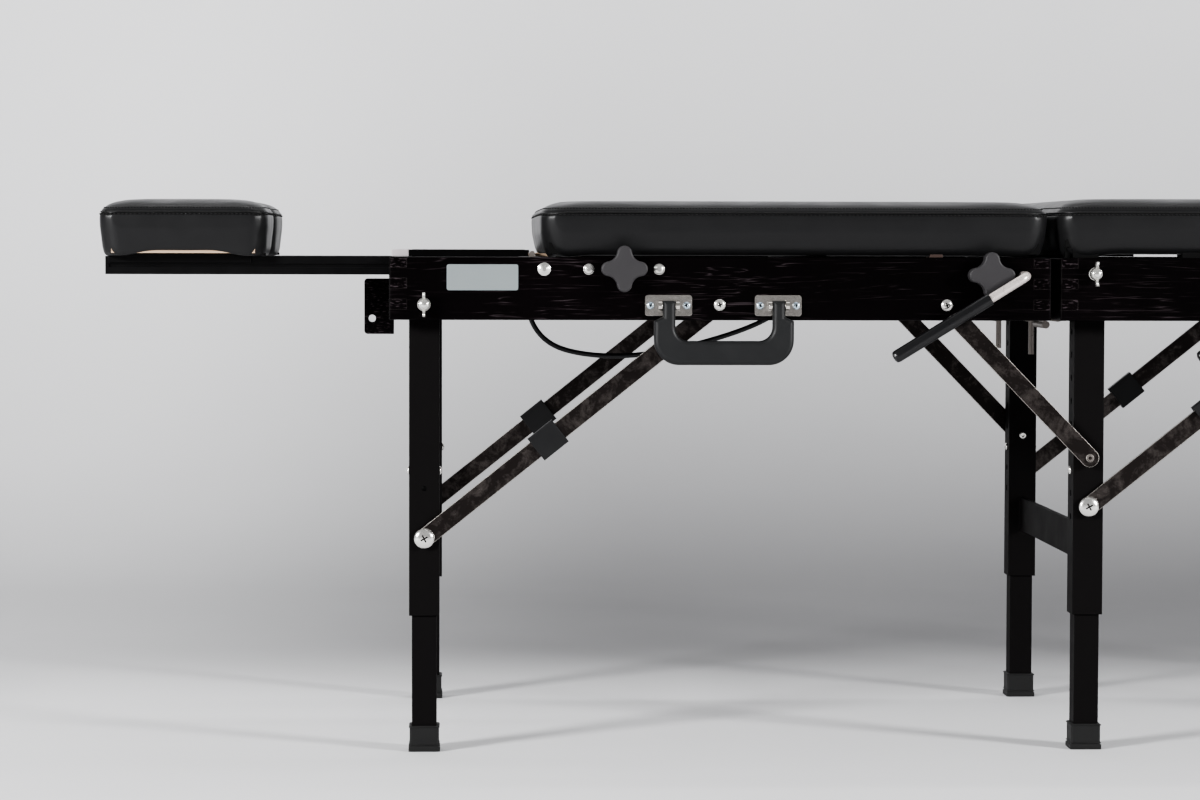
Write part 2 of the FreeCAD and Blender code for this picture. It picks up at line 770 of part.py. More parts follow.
def slide_covers():
    """Flat strips that close the notches over the headpiece rails, with a keeper block on the end rail."""
    width, height = S["slide_cover_width"], S["slide_cover_height"]
    start = S["rail_thickness"] + SEAT
    low_y = -(S["headrest_rail_offset"] + width / 2)
    length = S["cross_rail_start"] + S["slide_cover_rest"] - start
    keeper = block("slide_keeper", S["rail_thickness"], width, height, ZERO, low_y, FRAME_TOP + SEAT)
    strip = block("slide_strip", length, width, height, start, low_y, FRAME_TOP + SEAT)
    far = [far_copy("far_slide_keeper", keeper), far_copy("far_slide_strip", strip)]
    return [keeper, strip] + far


def make_frames():
    cross_rails = [
        cross_rail("first_cross_rail", S["cross_rail_start"], True),
        cross_rail("second_cross_rail", S["second_cross_rail_start"], False),
    ]
    return [
        group("head_cross_rails", cross_rails + slide_covers()),
        side_rail("head_near_rail", ZERO, False, head_side_holes(True)),
        side_rail("head_far_rail", ZERO, True, head_side_holes(False)),
        end_rail("head_end_rail", ZERO, False, notched=True),
        end_rail("head_junction_rail", S["half_length"] - S["rail_thickness"], True),
        side_rail("foot_near_rail", FOOT_HALF_X, False, foot_side_holes(True)),
        side_rail("foot_far_rail", FOOT_HALF_X, True, foot_side_holes(False)),
        end_rail("foot_junction_rail", FOOT_HALF_X, False),
        end_rail("foot_end_rail", TABLE_END_X - S["rail_thickness"], True),
    ]


def make_latch_tab():
    body = new_body("latch_tab")
    sketch = new_sketch(body, "XZ_Plane", "latch_outline")
    draw_rectangle(sketch, -S["latch_width"], ZERO, ZERO, S["latch_height"])
    hole_x = -S["latch_width"] + S["latch_hole_inset"]
    draw_circle(sketch, hole_x, S["latch_hole_rise"], S["latch_hole_radius"])
    pad(body, sketch, S["latch_thickness"])
    outer = -S["latch_width"].value / 2
    round_edges(body, S["latch_corner_radius"], Vector(0, 1, 0), lambda middle: middle.x < outer)
    return put(body, ZERO, S["latch_thickness"] / 2, S["frame_bottom"] - S["latch_drop"])


# Hinges and guide rods at the junction


def hinge_leaf(name, side, with_pin):
    """One leaf on the underside of a junction rail, side -1 towards the head and +1 towards the foot."""
    rail_face = S["half_length"] if side < 0 else FOOT_HALF_X
    edge = rail_face - S["hinge_leaf_width"] if side < 0 else HINGE_X
    length = rail_face + S["hinge_leaf_width"] - HINGE_X if side > 0 else HINGE_X - edge
    half = S["hinge_length"] / 2
    start = -(HINGE_START + S["hinge_length"]) if side < 0 else -(HINGE_START + half) + SEAT
    span = half if side < 0 else half - SEAT
    leaf_y = -(HINGE_START + S["hinge_length"])
    leaf_z = S["frame_bottom"] - S["hinge_leaf"]
    leaf = block(f"{name}_leaf", length, S["hinge_length"], S["hinge_leaf"], edge, leaf_y, leaf_z)
    other = block(
        f"{name}_gap",
        S["hinge_knuckle_radius"] + S["overrun"] + SEAT,
        half + SEAT,
        S["hinge_leaf"] + S["overrun"],
        HINGE_X - (S["hinge_knuckle_radius"] + SEAT if side > 0 else S["overrun"]),
        -(HINGE_START + half) - SEAT if side < 0 else leaf_y - SEAT,
        leaf_z - S["overrun"] / 2,
    )
    plate = cut(f"{name}_plate", leaf, other)
    along = Vector(1, 0, 0)
    knuckle = rod(f"{name}_tube", S["hinge_knuckle_radius"], span, HINGE_X, start, HINGE_Z, along, -90.0)
    rib_width = S["hinge_leaf"] * 2
    rib_x = HINGE_X - rib_width if side < 0 else HINGE_X
    rib = block(f"{name}_rib", rib_width, span, S["hinge_knuckle_radius"], rib_x, start, HINGE_Z)
    solid = fused(f"{name}_solid", [plate, knuckle, rib])
    bore_radius = S["hinge_pin_radius"] + S["running_fit"]
    bore_length, bore_start = span + S["overrun"] * 2, start - S["overrun"]
    bore = rod(f"{name}_bore", bore_radius, bore_length, HINGE_X, bore_start, HINGE_Z, along, -90.0)
    pieces = [cut(name, solid, bore)]
    if with_pin:
        radius, pin_length = S["hinge_pin_radius"], S["hinge_length"]
        pieces.append(rod(f"{name}_pin", radius, pin_length, HINGE_X, leaf_y, HINGE_Z, along, -90.0))
    return pieces


def make_hinges():
    head = both_sides("hinge_head_leaves", hinge_leaf("head_leaf", -1, with_pin=True))
    foot = both_sides("hinge_foot_leaves", hinge_leaf("foot_leaf", 1, with_pin=False))
    return [head, foot]


# Fasteners


def wing_nut_bolt(name, leg):
    """Pivot bolt of a leg with its spacer, washer and wing nut."""
    x, z = leg.pivot_x, leg.pivot_z
    inner_end = LEG_INNER - S["nut_height"] - SEAT
    total = HALF_WIDTH + S["wing_nut_hub_height"] + S["washer_height"] + S["bolt_tip_height"] - inner_end
    shank = outward_rod(f"{name}_shank", S["pivot_bolt_radius"], total, x, inner_end, z)
    head = outward_rod(f"{name}_head", S["pivot_spacer_radius"], S["nut_height"], x, inner_end, z)
    spacer_length = RAIL_INNER - LEG_OUTER - SEAT
    spacer = outward_rod(f"{name}_spacer", S["pivot_spacer_radius"], spacer_length, x, LEG_OUTER + SEAT, z)
    washer = outward_rod(f"{name}_washer", S["washer_radius"], S["washer_height"], x, HALF_WIDTH, z)
    hub_start = HALF_WIDTH + S["washer_height"]
    hub = outward_rod(f"{name}_hub", S["wing_nut_hub_radius"], S["wing_nut_hub_height"], x, hub_start, z)
    wings = wing_plate(f"{name}_wings", x, hub_start, z)
    return fused(name, [shank, head, spacer, washer, hub, wings])


def wing_plate(name, x, start, z):
    """The two upright ears of a wing nut, wider towards their tips."""
    body = new_body(name)
    sketch = new_sketch(body, "YZ_Plane", f"{name}_outline")
    half = S["wing_nut_span"] / 2
    hub = S["wing_nut_hub_radius"]
    tip = S["wing_nut_tip_height"]
    root = S["wing_nut_hub_height"] / 3
    back = -(tip - root * 2)
    ears = [(back, half), (-tip, half), (-root * 2, ZERO), (-tip, -half), (back, -half)]
    draw_outline(sketch, [(-root, -hub), (-root, hub)] + ears)
    pad(body, sketch, S["wing_thickness"])
    return put(body, x - S["wing_thickness"] / 2, -start, z)


def brace_bolt(name, x, z):
    """A bolt through a side rail that carries a flat bar on the rail's inner side."""
    head_end = HALF_WIDTH + S["brace_bolt_head_height"]
    nut_start = UPPER_BAR_Y - SEAT - S["bar_thickness"]
    radius = S["brace_bolt_head_radius"]
    shank = outward_rod(f"{name}_shank", S["brace_bolt_radius"], head_end - nut_start, x, nut_start, z)
    nut = outward_rod(f"{name}_nut", radius, S["bar_thickness"], x, nut_start, z)
    washer_start = UPPER_BAR_OUTER + S["bar_play"]
    washer = outward_rod(f"{name}_washer", radius, RAIL_INNER - washer_start, x, washer_start, z)
    head = outward_rod(f"{name}_head", radius, S["brace_bolt_head_height"], x, HALF_WIDTH, z)
    return fused(name, [shank, nut, washer, head])


def face_screw(name, x, z, washer=False):
    """A raised-head screw through a side rail, with a cup washer where wanted."""
    rim = S["washer_radius"] if washer else S["face_screw_head_radius"]
    lift = S["washer_height"] if washer else S["face_screw_head_height"] / 3
    top = lift + S["face_screw_head_height"] * 0.6
    length = S["rail_thickness"]
    steps = [
        (S["face_screw_radius"], ZERO),
        (S["face_screw_radius"], length),
        (rim, length),
        (rim, length + lift / 2),
        (S["face_screw_head_radius"] * 0.8, length + lift),
        (S["face_screw_head_radius"] * 0.4, length + top),
    ]
    return turned(name, steps, x, RAIL_INNER, z)


def drop_hinge(name, x, lift):
    """The fixed half of a section's hinge: a foot on the rail's top, a knuckle along Y and its pin."""
    start = -RAIL_INNER
    knuckle_z = FRAME_TOP + lift
    base = block(
        f"{name}_base",
        S["drop_hinge_radius"] * 2,
        S["drop_hinge_length"],
        lift,
        x - S["drop_hinge_radius"],
        start,
        FRAME_TOP,
    )
    along = Vector(1, 0, 0)
    knuckle = rod(
        f"{name}_knuckle", S["drop_hinge_radius"], S["drop_hinge_length"], x, start, knuckle_z, along, -90.0
    )
    pin_length = S["drop_hinge_length"] + S["drop_hinge_tongue_width"]
    pin = rod(f"{name}_pin", S["drop_hinge_pin_radius"], pin_length, x, start, knuckle_z, along, -90.0)
    return fused(name, [base, knuckle, pin])


def make_hardware():
    head = [
        wing_nut_bolt("head_pivot", HEAD_LEG),
        brace_bolt("head_brace_bolt", HEAD_LEG.brace_bolt_x(), HEAD_LEG.pivot_z),
        brace_bolt("strut_bolt", STRUT_X, LOWER_PIVOT_Z),
        drop_hinge("thoracic_hinge", THORACIC_HINGE_X, S["thoracic_lift"]),
    ]
    for index, x in enumerate(FACE_SCREWS):
        head.append(face_screw(f"face_screw_{index + 1}", x, FACE_SCREW_Z, washer=index == 0))
    rod_x = S["half_length"] + S["guide_rod_radius"] + S["running_fit"]
    rod_y = -(HINGE_START - S["guide_rod_inset"])
    rod_bottom = S["frame_bottom"] - S["guide_rod_drop"]
    guide = rod("guide_rod", S["guide_rod_radius"], S["guide_rod_length"], rod_x, rod_y, rod_bottom)
    head.append(guide)
    foot = [
        wing_nut_bolt("middle_pivot", MIDDLE_LEG),
        brace_bolt("middle_brace_bolt", MIDDLE_LEG.brace_bolt_x(), MIDDLE_LEG.pivot_z),
        wing_nut_bolt("foot_pivot", FOOT_LEG),
        brace_bolt("foot_brace_bolt", FOOT_LEG.brace_bolt_x(), FOOT_LEG.pivot_z),
        drop_hinge("pelvic_hinge", PELVIC_HINGE_X, S["pelvic_lift"]),
    ]
    return [both_sides("head_frame_hardware", head), both_sides("foot_frame_hardware", foot)]


# Legs


def leg_tube(leg):
    """The near outer tube: a square tube with a rounded plug end at its pivot and a row of holes."""
    name = f"{leg.name}_outer_tube"
    body = new_body(name)
    half = S["leg_tube"] / 2
    length = leg.pivot_z - S["frame_bottom"] + S["tube_end_drop"]
    side = new_sketch(body, "XZ_Plane", f"{name}_side")
    draw_leg_outline(side, half, length)
    draw_circle(side, ZERO, ZERO, S["pivot_bolt_radius"] + S["running_fit"])
    pad(body, side, S["leg_tube"])
    bore = new_sketch(body, "XY_Plane", f"{name}_bore")
    bore_half = half - S["leg_wall"]
    draw_rectangle(bore, -bore_half, -half - bore_half, bore_half, -half + bore_half)
    bore.AttachmentOffset = Placement(Vector(0, 0, -length.value), Rotation())
    bore.setExpression("AttachmentOffset.Base.z", f"-{length.text}")
    pocket(body, bore, length - half, reversed_side=True, name="Bore")
    hole = new_sketch(body, "YZ_Plane", f"{name}_hole")
    rise = S["frame_bottom"] - S["first_hole_drop"] - leg.pivot_z
    draw_circle(hole, -half, rise, S["hole_radius"])
    DOCUMENT.recompute()
    before = body.Shape.Volume
    first = body.newObject("PartDesign::Pocket", "Hole")
    first.Profile = hole
    first.Type = "ThroughAll"
    first.SideType = "Symmetric"
    DOCUMENT.recompute()
    pattern = body.newObject("PartDesign::LinearPattern", "HoleRow")
    pattern.Originals = [first]
    pattern.Direction = (hole, ["V_Axis"])
    pattern.Mode = "Spacing"
    bind(pattern, Offset=S["hole_pitch"])
    pattern.Occurrences = HOLES_PER_LEG
    body.Tip = pattern
    DOCUMENT.recompute()
    if not body.Shape.Volume < before:
        raise ValueError(f"{name}: the row of holes cuts nothing")
    return put(body, leg.pivot_x, -LEG_INNER, leg.pivot_z)


def draw_leg_outline(sketch, half, length):
    """Side view of a leg tube: straight sides and a half-round top about the pivot at the origin."""
    low = Vector(-half.value, -length.value, 0)
    right = Vector(half.value, -length.value, 0)
    bottom = sketch.addGeometry(Part.LineSegment(low, right))
    side = sketch.addGeometry(Part.LineSegment(right, Vector(half.value, 0, 0)))
    circle = Part.Circle(Vector(0, 0, 0), Vector(0, 0, 1), half.value)
    top = sketch.addGeometry(Part.ArcOfCircle(circle, 0, math.pi))
    back = sketch.addGeometry(Part.LineSegment(Vector(-half.value, 0, 0), low))
    sketch.addConstraint(
        [
            Sketcher.Constraint("Coincident", bottom, 2, side, 1),
            Sketcher.Constraint("Coincident", side, 2, top, 1),
            Sketcher.Constraint("Coincident", top, 2, back, 1),
            Sketcher.Constraint("Coincident", back, 2, bottom, 1),
            Sketcher.Constraint("Coincident", top, 3, -1, 1),
            Sketcher.Constraint("PointOnObject", side, 2, -1),
            Sketcher.Constraint("PointOnObject", top, 2, -1),
        ]
    )
    fix_point(sketch, bottom, 1, -half, -length)
    fix_point(sketch, bottom, 2, half, -length)
    radius = sketch.addConstraint(Sketcher.Constraint("Radius", top, half.value))
    sketch.setExpression(f"Constraints[{radius}]", half.text)


def leg_frame(leg):
    """Two outer tubes welded to a flat crossbar."""
    near = leg_tube(leg)
    far = far_copy(f"{leg.name}_outer_tube_far", near)
    bar = block(
        f"{leg.name}_crossbar",
        S["crossbar_thickness"],
        LEG_INNER * 2,
        S["crossbar_height"],
        leg.pivot_x - S["crossbar_thickness"] / 2,
        -LEG_INNER,
        S["frame_bottom"] - S["crossbar_middle_drop"] - S["crossbar_height"] / 2,
    )
    return fused(f"{leg.name}_leg_frame", [near, bar, far])


def inner_leg(name, leg, side):
    """The telescoping square tube with a glide collar at its top, side -1 near and +1 far."""
    body = new_body(name)
    sketch = new_sketch(body, "XY_Plane", f"{name}_section")
    half = INNER_TUBE / 2
    bore = half - S["inner_wall"]
    draw_rectangle(sketch, -half, -half, half, half)
    draw_rectangle(sketch, -bore, -bore, bore, bore)
    length = S["frame_bottom"] - S["inner_top_drop"] - S["foot_sole"]
    pad(body, sketch, length)
    collar = new_sketch(body, "XY_Plane", f"{name}_glide")
    glide = S["leg_tube"] / 2 - S["leg_wall"] - S["running_fit"]
    draw_rectangle(collar, -glide, -glide, glide, glide)
    draw_rectangle(collar, -bore, -bore, bore, bore)
    start = length - S["glide_height"]
    collar.AttachmentOffset = Placement(Vector(0, 0, start.value), Rotation())
    collar.setExpression("AttachmentOffset.Base.z", start.text)
    pad(body, collar, S["glide_height"], name="Glide")
    return put(body, leg.pivot_x, LEG_MIDDLE * side, S["foot_sole"])


def rubber_foot(name, leg, side):
    """A moulded rubber foot: a lip at the floor, a tapered body and a socket for the tube."""
    body = new_body(name)
    lip = new_sketch(body, "XY_Plane", f"{name}_lip")
    top_half = INNER_TUBE / 2 + S["foot_wall"]
    base_half = top_half + S["foot_flare"]
    draw_rectangle(lip, -base_half, -base_half, base_half, base_half)
    pad(body, lip, S["foot_lip_height"], name="Lip")
    shank = new_sketch(body, "XY_Plane", f"{name}_shank")
    draw_rectangle(shank, -top_half, -top_half, top_half, top_half)
    pad(body, shank, S["foot_height"], name="Shank")
    round_edges(body, S["leg_wall"], Vector(0, 0, 1), name="Corners")
    socket = new_sketch(body, "XY_Plane", f"{name}_socket")
    socket_half = INNER_TUBE / 2
    draw_rectangle(socket, -socket_half, -socket_half, socket_half, socket_half)
    socket.AttachmentOffset = Placement(Vector(0, 0, S["foot_sole"].value), Rotation())
    socket.setExpression("AttachmentOffset.Base.z", S["foot_sole"].text)
    pocket(body, socket, S["foot_height"], reversed_side=True, name="Socket")
    return put(body, leg.pivot_x, LEG_MIDDLE * side, ZERO)


def make_legs():
    pieces = []
    for leg in LEGS:
        pieces.append(leg_frame(leg))
        for side_name, side in (("near", -1), ("far", 1)):
            pieces.append(inner_leg(f"{leg.name}_{side_name}_inner_leg", leg, side))
            pieces.append(rubber_foot(f"{leg.name}_{side_name}_foot", leg, side))
    return pieces


# Knee braces and struts


def tilted(body, x, distance, z, angle):
    """Place a flat bar of the near side by its own origin and tilt it about that point."""
    return put(body, x, -distance, z, Vector(0, -1, 0), angle)


def lower_bar(leg):
    """From the leg to the knee, with the domed screw that holds it to the leg."""
    name = f"{leg.name}_lower_bar"
    body = new_body(name)
    sketch = new_sketch(body, "XZ_Plane", f"{name}_outline")
    draw_slot(sketch, LOWER_BAR, S["bar_width"] / 2)
    draw_circle(sketch, ZERO, ZERO, S["leg_screw_radius"] + S["running_fit"])
    draw_circle(sketch, LOWER_BAR, ZERO, S["knee_rivet_radius"] + S["running_fit"])
    pad(body, sketch, S["bar_thickness"])
    x, z = leg.pivot_x, leg.pivot_z - S["brace_drop"]
    tilted(body, x, LOWER_BAR_Y, z, leg.brace_angle())
    inner = LEG_OUTER + SEAT
    bar_face = LOWER_BAR_Y - inner
    head_face = bar_face + S["bar_thickness"]
    steps = [
        (S["leg_screw_crown_radius"], ZERO),
        (S["leg_screw_crown_radius"], bar_face),
        (S["leg_screw_radius"], bar_face),
        (S["leg_screw_radius"], head_face),
        (S["leg_screw_head_radius"], head_face),
        (S["leg_screw_head_radius"], head_face + S["leg_screw_rim_height"]),
        (S["leg_screw_crown_radius"], head_face + S["leg_screw_head_height"]),
    ]
    screw = turned(f"{leg.name}_leg_screw", steps, x, inner, z)
    return [body, screw]


def upper_bar(leg):
    """From the knee to the side rail, with the knee rivet riveted in."""
    name = f"{leg.name}_upper_bar"
    body = new_body(name)
    sketch = new_sketch(body, "XZ_Plane", f"{name}_outline")
    draw_slot(sketch, UPPER_BAR, S["bar_width"] / 2)
    draw_circle(sketch, UPPER_BAR, ZERO, S["brace_bolt_radius"] + S["running_fit"])
    pad(body, sketch, S["bar_thickness"])
    spacer = new_sketch(body, "XZ_Plane", f"{name}_spacer")
    draw_circle(spacer, ZERO, ZERO, S["knee_spacer_radius"])
    pad(body, spacer, S["knee_spacer"] - SEAT, reversed_side=True, name="Spacer")
    rivet = new_sketch(body, "XZ_Plane", f"{name}_rivet")
    draw_circle(rivet, ZERO, ZERO, S["knee_rivet_radius"])
    pad(body, rivet, S["knee_spacer"] + S["bar_thickness"], reversed_side=True, name="Rivet")
    x, z = leg.along_brace(LOWER_BAR)
    return tilted(body, x, UPPER_BAR_Y, z, leg.brace_angle())


def lock_sleeve(leg):
    """The pressed sleeve that covers the knee and keeps the brace straight."""
    name = f"{leg.name}_sleeve"
    body = new_body(name)
    sketch = new_sketch(body, "YZ_Plane", f"{name}_section")
    inner = S["bar_play"]
    outer = BAR_STACK - S["bar_play"]
    wall = S["sleeve_wall"]
    half, bore = S["sleeve_width"] / 2, S["sleeve_bore_width"] / 2
    draw_rectangle(sketch, -(outer + wall), -half, inner + wall, half)
    draw_rectangle(sketch, -outer, -bore, inner, bore)
    pad(body, sketch, S["sleeve_length"])
    corner = half.value - S["sleeve_edge_radius"].value
    round_edges(body, S["sleeve_edge_radius"], Vector(1, 0, 0), lambda middle: abs(middle.z) > corner)
    x, z = leg.along_brace(LOWER_BAR - S["sleeve_length"] / 2)
    return tilted(body, x, LOWER_BAR_Y, z, leg.brace_angle())


def strut():
    """Flat bar from the head half's side rail down to the outside of the middle leg."""
    name = "strut"
    body = new_body(name)
    length = hypotenuse(MIDDLE_LEG.pivot_x - STRUT_X, STRUT_DROP)
    sketch = new_sketch(body, "XZ_Plane", f"{name}_outline")
    draw_slot(sketch, length, S["bar_width"] / 2)
    draw_circle(sketch, ZERO, ZERO, S["brace_bolt_radius"] + S["running_fit"])
    pad(body, sketch, S["bar_thickness"])
    boss = new_sketch(body, "XZ_Plane", f"{name}_boss")
    draw_circle(boss, length, ZERO, S["strut_boss_radius"])
    pad(body, boss, UPPER_BAR_Y - LEG_OUTER - SEAT, reversed_side=True, name="Boss")
    rivet = new_sketch(body, "XZ_Plane", f"{name}_rivet")
    draw_circle(rivet, length, ZERO, S["strut_rivet_radius"])
    pad(body, rivet, S["bar_thickness"] + S["strut_rivet_height"], name="Rivet")
    reach = (MIDDLE_LEG.pivot_x - STRUT_X).value
    angle = -math.degrees(math.atan2(STRUT_DROP.value, reach))
    return tilted(body, STRUT_X, UPPER_BAR_Y, LOWER_PIVOT_Z, angle)


def make_braces():
    pieces = []
    for leg in LEGS:
        pieces.append(both_sides(f"{leg.name}_brace_lower_bars", lower_bar(leg)))
        pieces.append(both_sides(f"{leg.name}_brace_upper_bars", [upper_bar(leg)]))
        pieces.append(both_sides(f"{leg.name}_brace_sleeves", [lock_sleeve(leg)]))
    pieces.append(both_sides("struts", [strut()]))
    return pieces


# Knobs, levers and the carrying handle


def knob(name, x, z, reach):
    """A four-lobed clamp knob whose stem passes the near side rail and ends a reach from the middle."""
    lobes = []
    for quarter in range(4):
        lobe_angle = math.radians(90 * quarter)
        valley_angle = math.radians(90 * quarter + 45)
        lobes.append(lobe_arc(lobe_angle))
        lobes.append(valley_arc(valley_angle))
    face = Part.Face(Part.Wire(lobes))
    head = face.extrude(Vector(0, 0, S["knob_height"].value))
    rims = [edge for edge in head.Edges if is_flat_at(edge, S["knob_height"].value)]
    head = head.makeFillet(S["knob_edge_radius"].value, rims)
    collar_height = S["knob_collar_height"].value
    collar = Part.makeCylinder(S["knob_collar_radius"].value, collar_height, Vector(0, 0, -collar_height))
    stem_length = (KNOB_START - reach).value
    stem = Part.makeCylinder(S["knob_stem_radius"].value, stem_length, Vector(0, 0, -stem_length))
    piece = DOCUMENT.addObject("Part::Feature", name)
    piece.Shape = head.fuse([collar, stem]).removeSplitter()
    return put(piece, x, -KNOB_START, z, Vector(1, 0, 0), 90.0)


def is_flat_at(edge, height):
    return all(abs(vertex.Point.z - height) < 1e-6 for vertex in edge.Vertexes)


def lobe_and_valley():
    """Angle at a lobe's centre where its arc meets the valley's, from the line of the two centres."""
    lobe = Vector(S["lobe_offset"].value, 0, 0)
    turn = math.radians(45)
    valley = Vector(math.cos(turn), math.sin(turn), 0) * S["valley_offset"].value
    share = S["lobe_radius"].value / (S["lobe_radius"].value + S["valley_radius"].value)
    return lobe + (valley - lobe) * share


def turned_about_centre(point, angle):
    return Rotation(Vector(0, 0, 1), math.degrees(angle)).multVec(point)


def lobe_arc(angle):
    meeting = lobe_and_valley()
    mirrored = Vector(meeting.x, -meeting.y, 0)
    tip = Vector(S["lobe_offset"].value + S["lobe_radius"].value, 0, 0)
    points = [turned_about_centre(point, angle) for point in (mirrored, tip, meeting)]
    return Part.Arc(*points).toShape()


def valley_arc(angle):
    meeting = turned_about_centre(lobe_and_valley(), -math.radians(45))
    mirrored = Vector(meeting.x, -meeting.y, 0)
    floor = Vector(S["valley_offset"].value - S["valley_radius"].value, 0, 0)
    points = [turned_about_centre(point, angle) for point in (meeting, floor, mirrored)]
    return Part.Arc(*points).toShape()


def lever(name, x, inner_end):
    """A bent steel rod: its shaft passes the near rail up to inner_end and its arm hangs outside."""
    radius, bend = S["lever_rod_radius"], S["lever_bend_radius"]
    plane = LEVER_PLANE
    shaft_length = plane - bend + inner_end
    shaft = rod(f"{name}_shaft", radius, shaft_length, x, -(plane - bend), LEVER_Z, Vector(1, 0, 0), -90.0)
    angle = math.atan2(S["lever_rise_back"].value, S["lever_length"].value)
    away = Vector(-math.cos(angle), 0, -math.sin(angle))
    elbow = DOCUMENT.addObject("Part::Torus", f"{name}_elbow")
    bind(elbow, Radius1=bend, Radius2=radius)
    elbow.Angle3 = 90.0
    # the elbow's centre lies one bend radius along the arm from the shaft
    centre = Vector(x.value, -(plane - bend).value, LEVER_Z.value) + away * bend.value
    outward = Vector(0, -1, 0)
    turn = Rotation(-away, outward, Vector(0, 0, 0), "XYZ")
    base = Vector(centre.x - ORIGIN_X.value, centre.y - ORIGIN_Y.value, centre.z)
    elbow.Placement = Placement(base, turn)
    arm_length = hypotenuse(S["lever_length"], S["lever_rise_back"])
    arm_turn = Rotation(Vector(0, 0, 1), away)
    arm = rod(f"{name}_arm", radius, arm_length - bend, ZERO, ZERO, ZERO)
    arm.Placement = Placement(base + outward * bend.value, arm_turn)
    return fused(name, [shaft, elbow, arm]), base + outward * bend.value, arm_turn, arm_length - bend


def lever_grip(name, start, turn, arm_length):
    """A moulded sleeve with a rounded end over the outer part of a lever's arm."""
    body = new_body(name)
    sketch = new_sketch(body, "XZ_Plane", f"{name}_profile")
    inner, outer = S["lever_rod_radius"] + S["running_fit"], S["grip_radius"]
    end = arm_length + S["grip_wall_end"]
    open_end = end - S["grip_length"]
    draw_outline(
        sketch,
        [
            (inner, open_end),
            (outer, open_end),
            (outer, end - S["grip_wall_end"] * 1.2),
            (outer * 0.86, end - S["grip_wall_end"] * 0.4),
            (outer * 0.5, end),
            (ZERO, end),
            (ZERO, arm_length + S["running_fit"]),
            (inner, arm_length + S["running_fit"]),
        ],
    )
    feature = body.newObject("PartDesign::Revolution", "Revolution")
    feature.Profile = sketch
    feature.ReferenceAxis = (sketch, ["V_Axis"])
    feature.Angle = 360.0
    body.Placement = Placement(start, turn)
    return body


def make_levers():
    pieces = []
    for name, x, inner_end in (
        ("thoracic_lever", THORACIC_LEVER_X, RAIL_INNER - SEAT),
        ("pelvic_lever", PELVIC_LEVER_X, -RAIL_INNER),
    ):
        bent_rod, start, turn, arm_length = lever(name, x, inner_end)
        pieces += [bent_rod, lever_grip(f"{name}_grip", start, turn, arm_length)]
    return pieces


def handle_grip():
    """A moulded carrying handle that hangs from two pins along X."""
    body = new_body("handle_grip")
    sketch = new_sketch(body, "XZ_Plane", "handle_outline")
    half = S["handle_span"] / 2
    inner = half - S["handle_arm_width"]
    neck = inner + S["handle_neck_width"]
    top, bottom = S["handle_top_rise"], -S["handle_drop"]
    shoulder = -S["handle_neck_length"]
    floor = bottom + S["handle_bar_height"]
    slope = S["handle_neck_inset"] / 2
    right = [
        (inner, floor),
        (inner, top),
        (neck, top),
        (neck, shoulder),
        (half, shoulder - slope),
        (half, bottom),
    ]
    left = [(-x, z) for x, z in reversed(right)]
    draw_outline(sketch, right + left)
    pad(body, sketch, S["handle_depth"])
    across = Vector(0, 1, 0)
    low = bottom.value / 2
    outer = half.value * 0.95
    outer_radius = S["handle_outer_radius"]
    round_edges(body, outer_radius, across, lambda p: abs(p.x) > outer and p.z < low, name="OuterCorners")
    inside = inner.value * 1.05
    round_edges(
        body,
        S["handle_inner_radius"],
        across,
        lambda p: abs(p.x) < inside and p.z < shoulder.value,
        name="InnerCorners",
    )
    DOCUMENT.recompute()
    base = body.Tip
    rims = rim_edges(base.Shape, S["handle_depth"].value)
    rounded = body.newObject("PartDesign::Fillet", "Rims")
    rounded.Base = (base, rims)
    bind(rounded, Radius=S["handle_edge_radius"])
    bores = new_sketch(body, "YZ_Plane", "handle_bores")
    draw_circle(bores, -S["handle_depth"] / 2, ZERO, S["handle_pin_radius"] + S["running_fit"])
    DOCUMENT.recompute()
    before = body.Shape.Volume
    through = body.newObject("PartDesign::Pocket", "PinBores")
    through.Profile = bores
    through.Type = "ThroughAll"
    through.SideType = "Symmetric"
    DOCUMENT.recompute()
    if not body.Shape.Volume < before:
        raise ValueError("handle_grip: the pin bores cut nothing")
    front = HALF_WIDTH + S["handle_standoff"] - S["handle_depth"] / 2
    return put(body, HANDLE_X, -front, S["frame_bottom"] + S["handle_pivot_rise"])


def rim_edges(shape, depth):
    """Edges around the front and back outline of a padded plate."""
    names = []
    for index, edge in enumerate(shape.Edges, start=1):
        ends = [vertex.Point.y for vertex in edge.Vertexes]
        if all(abs(y) < 1e-6 for y in ends) or all(abs(y + depth) < 1e-6 for y in ends):
            names.append(f"Edge{index}")
    return names


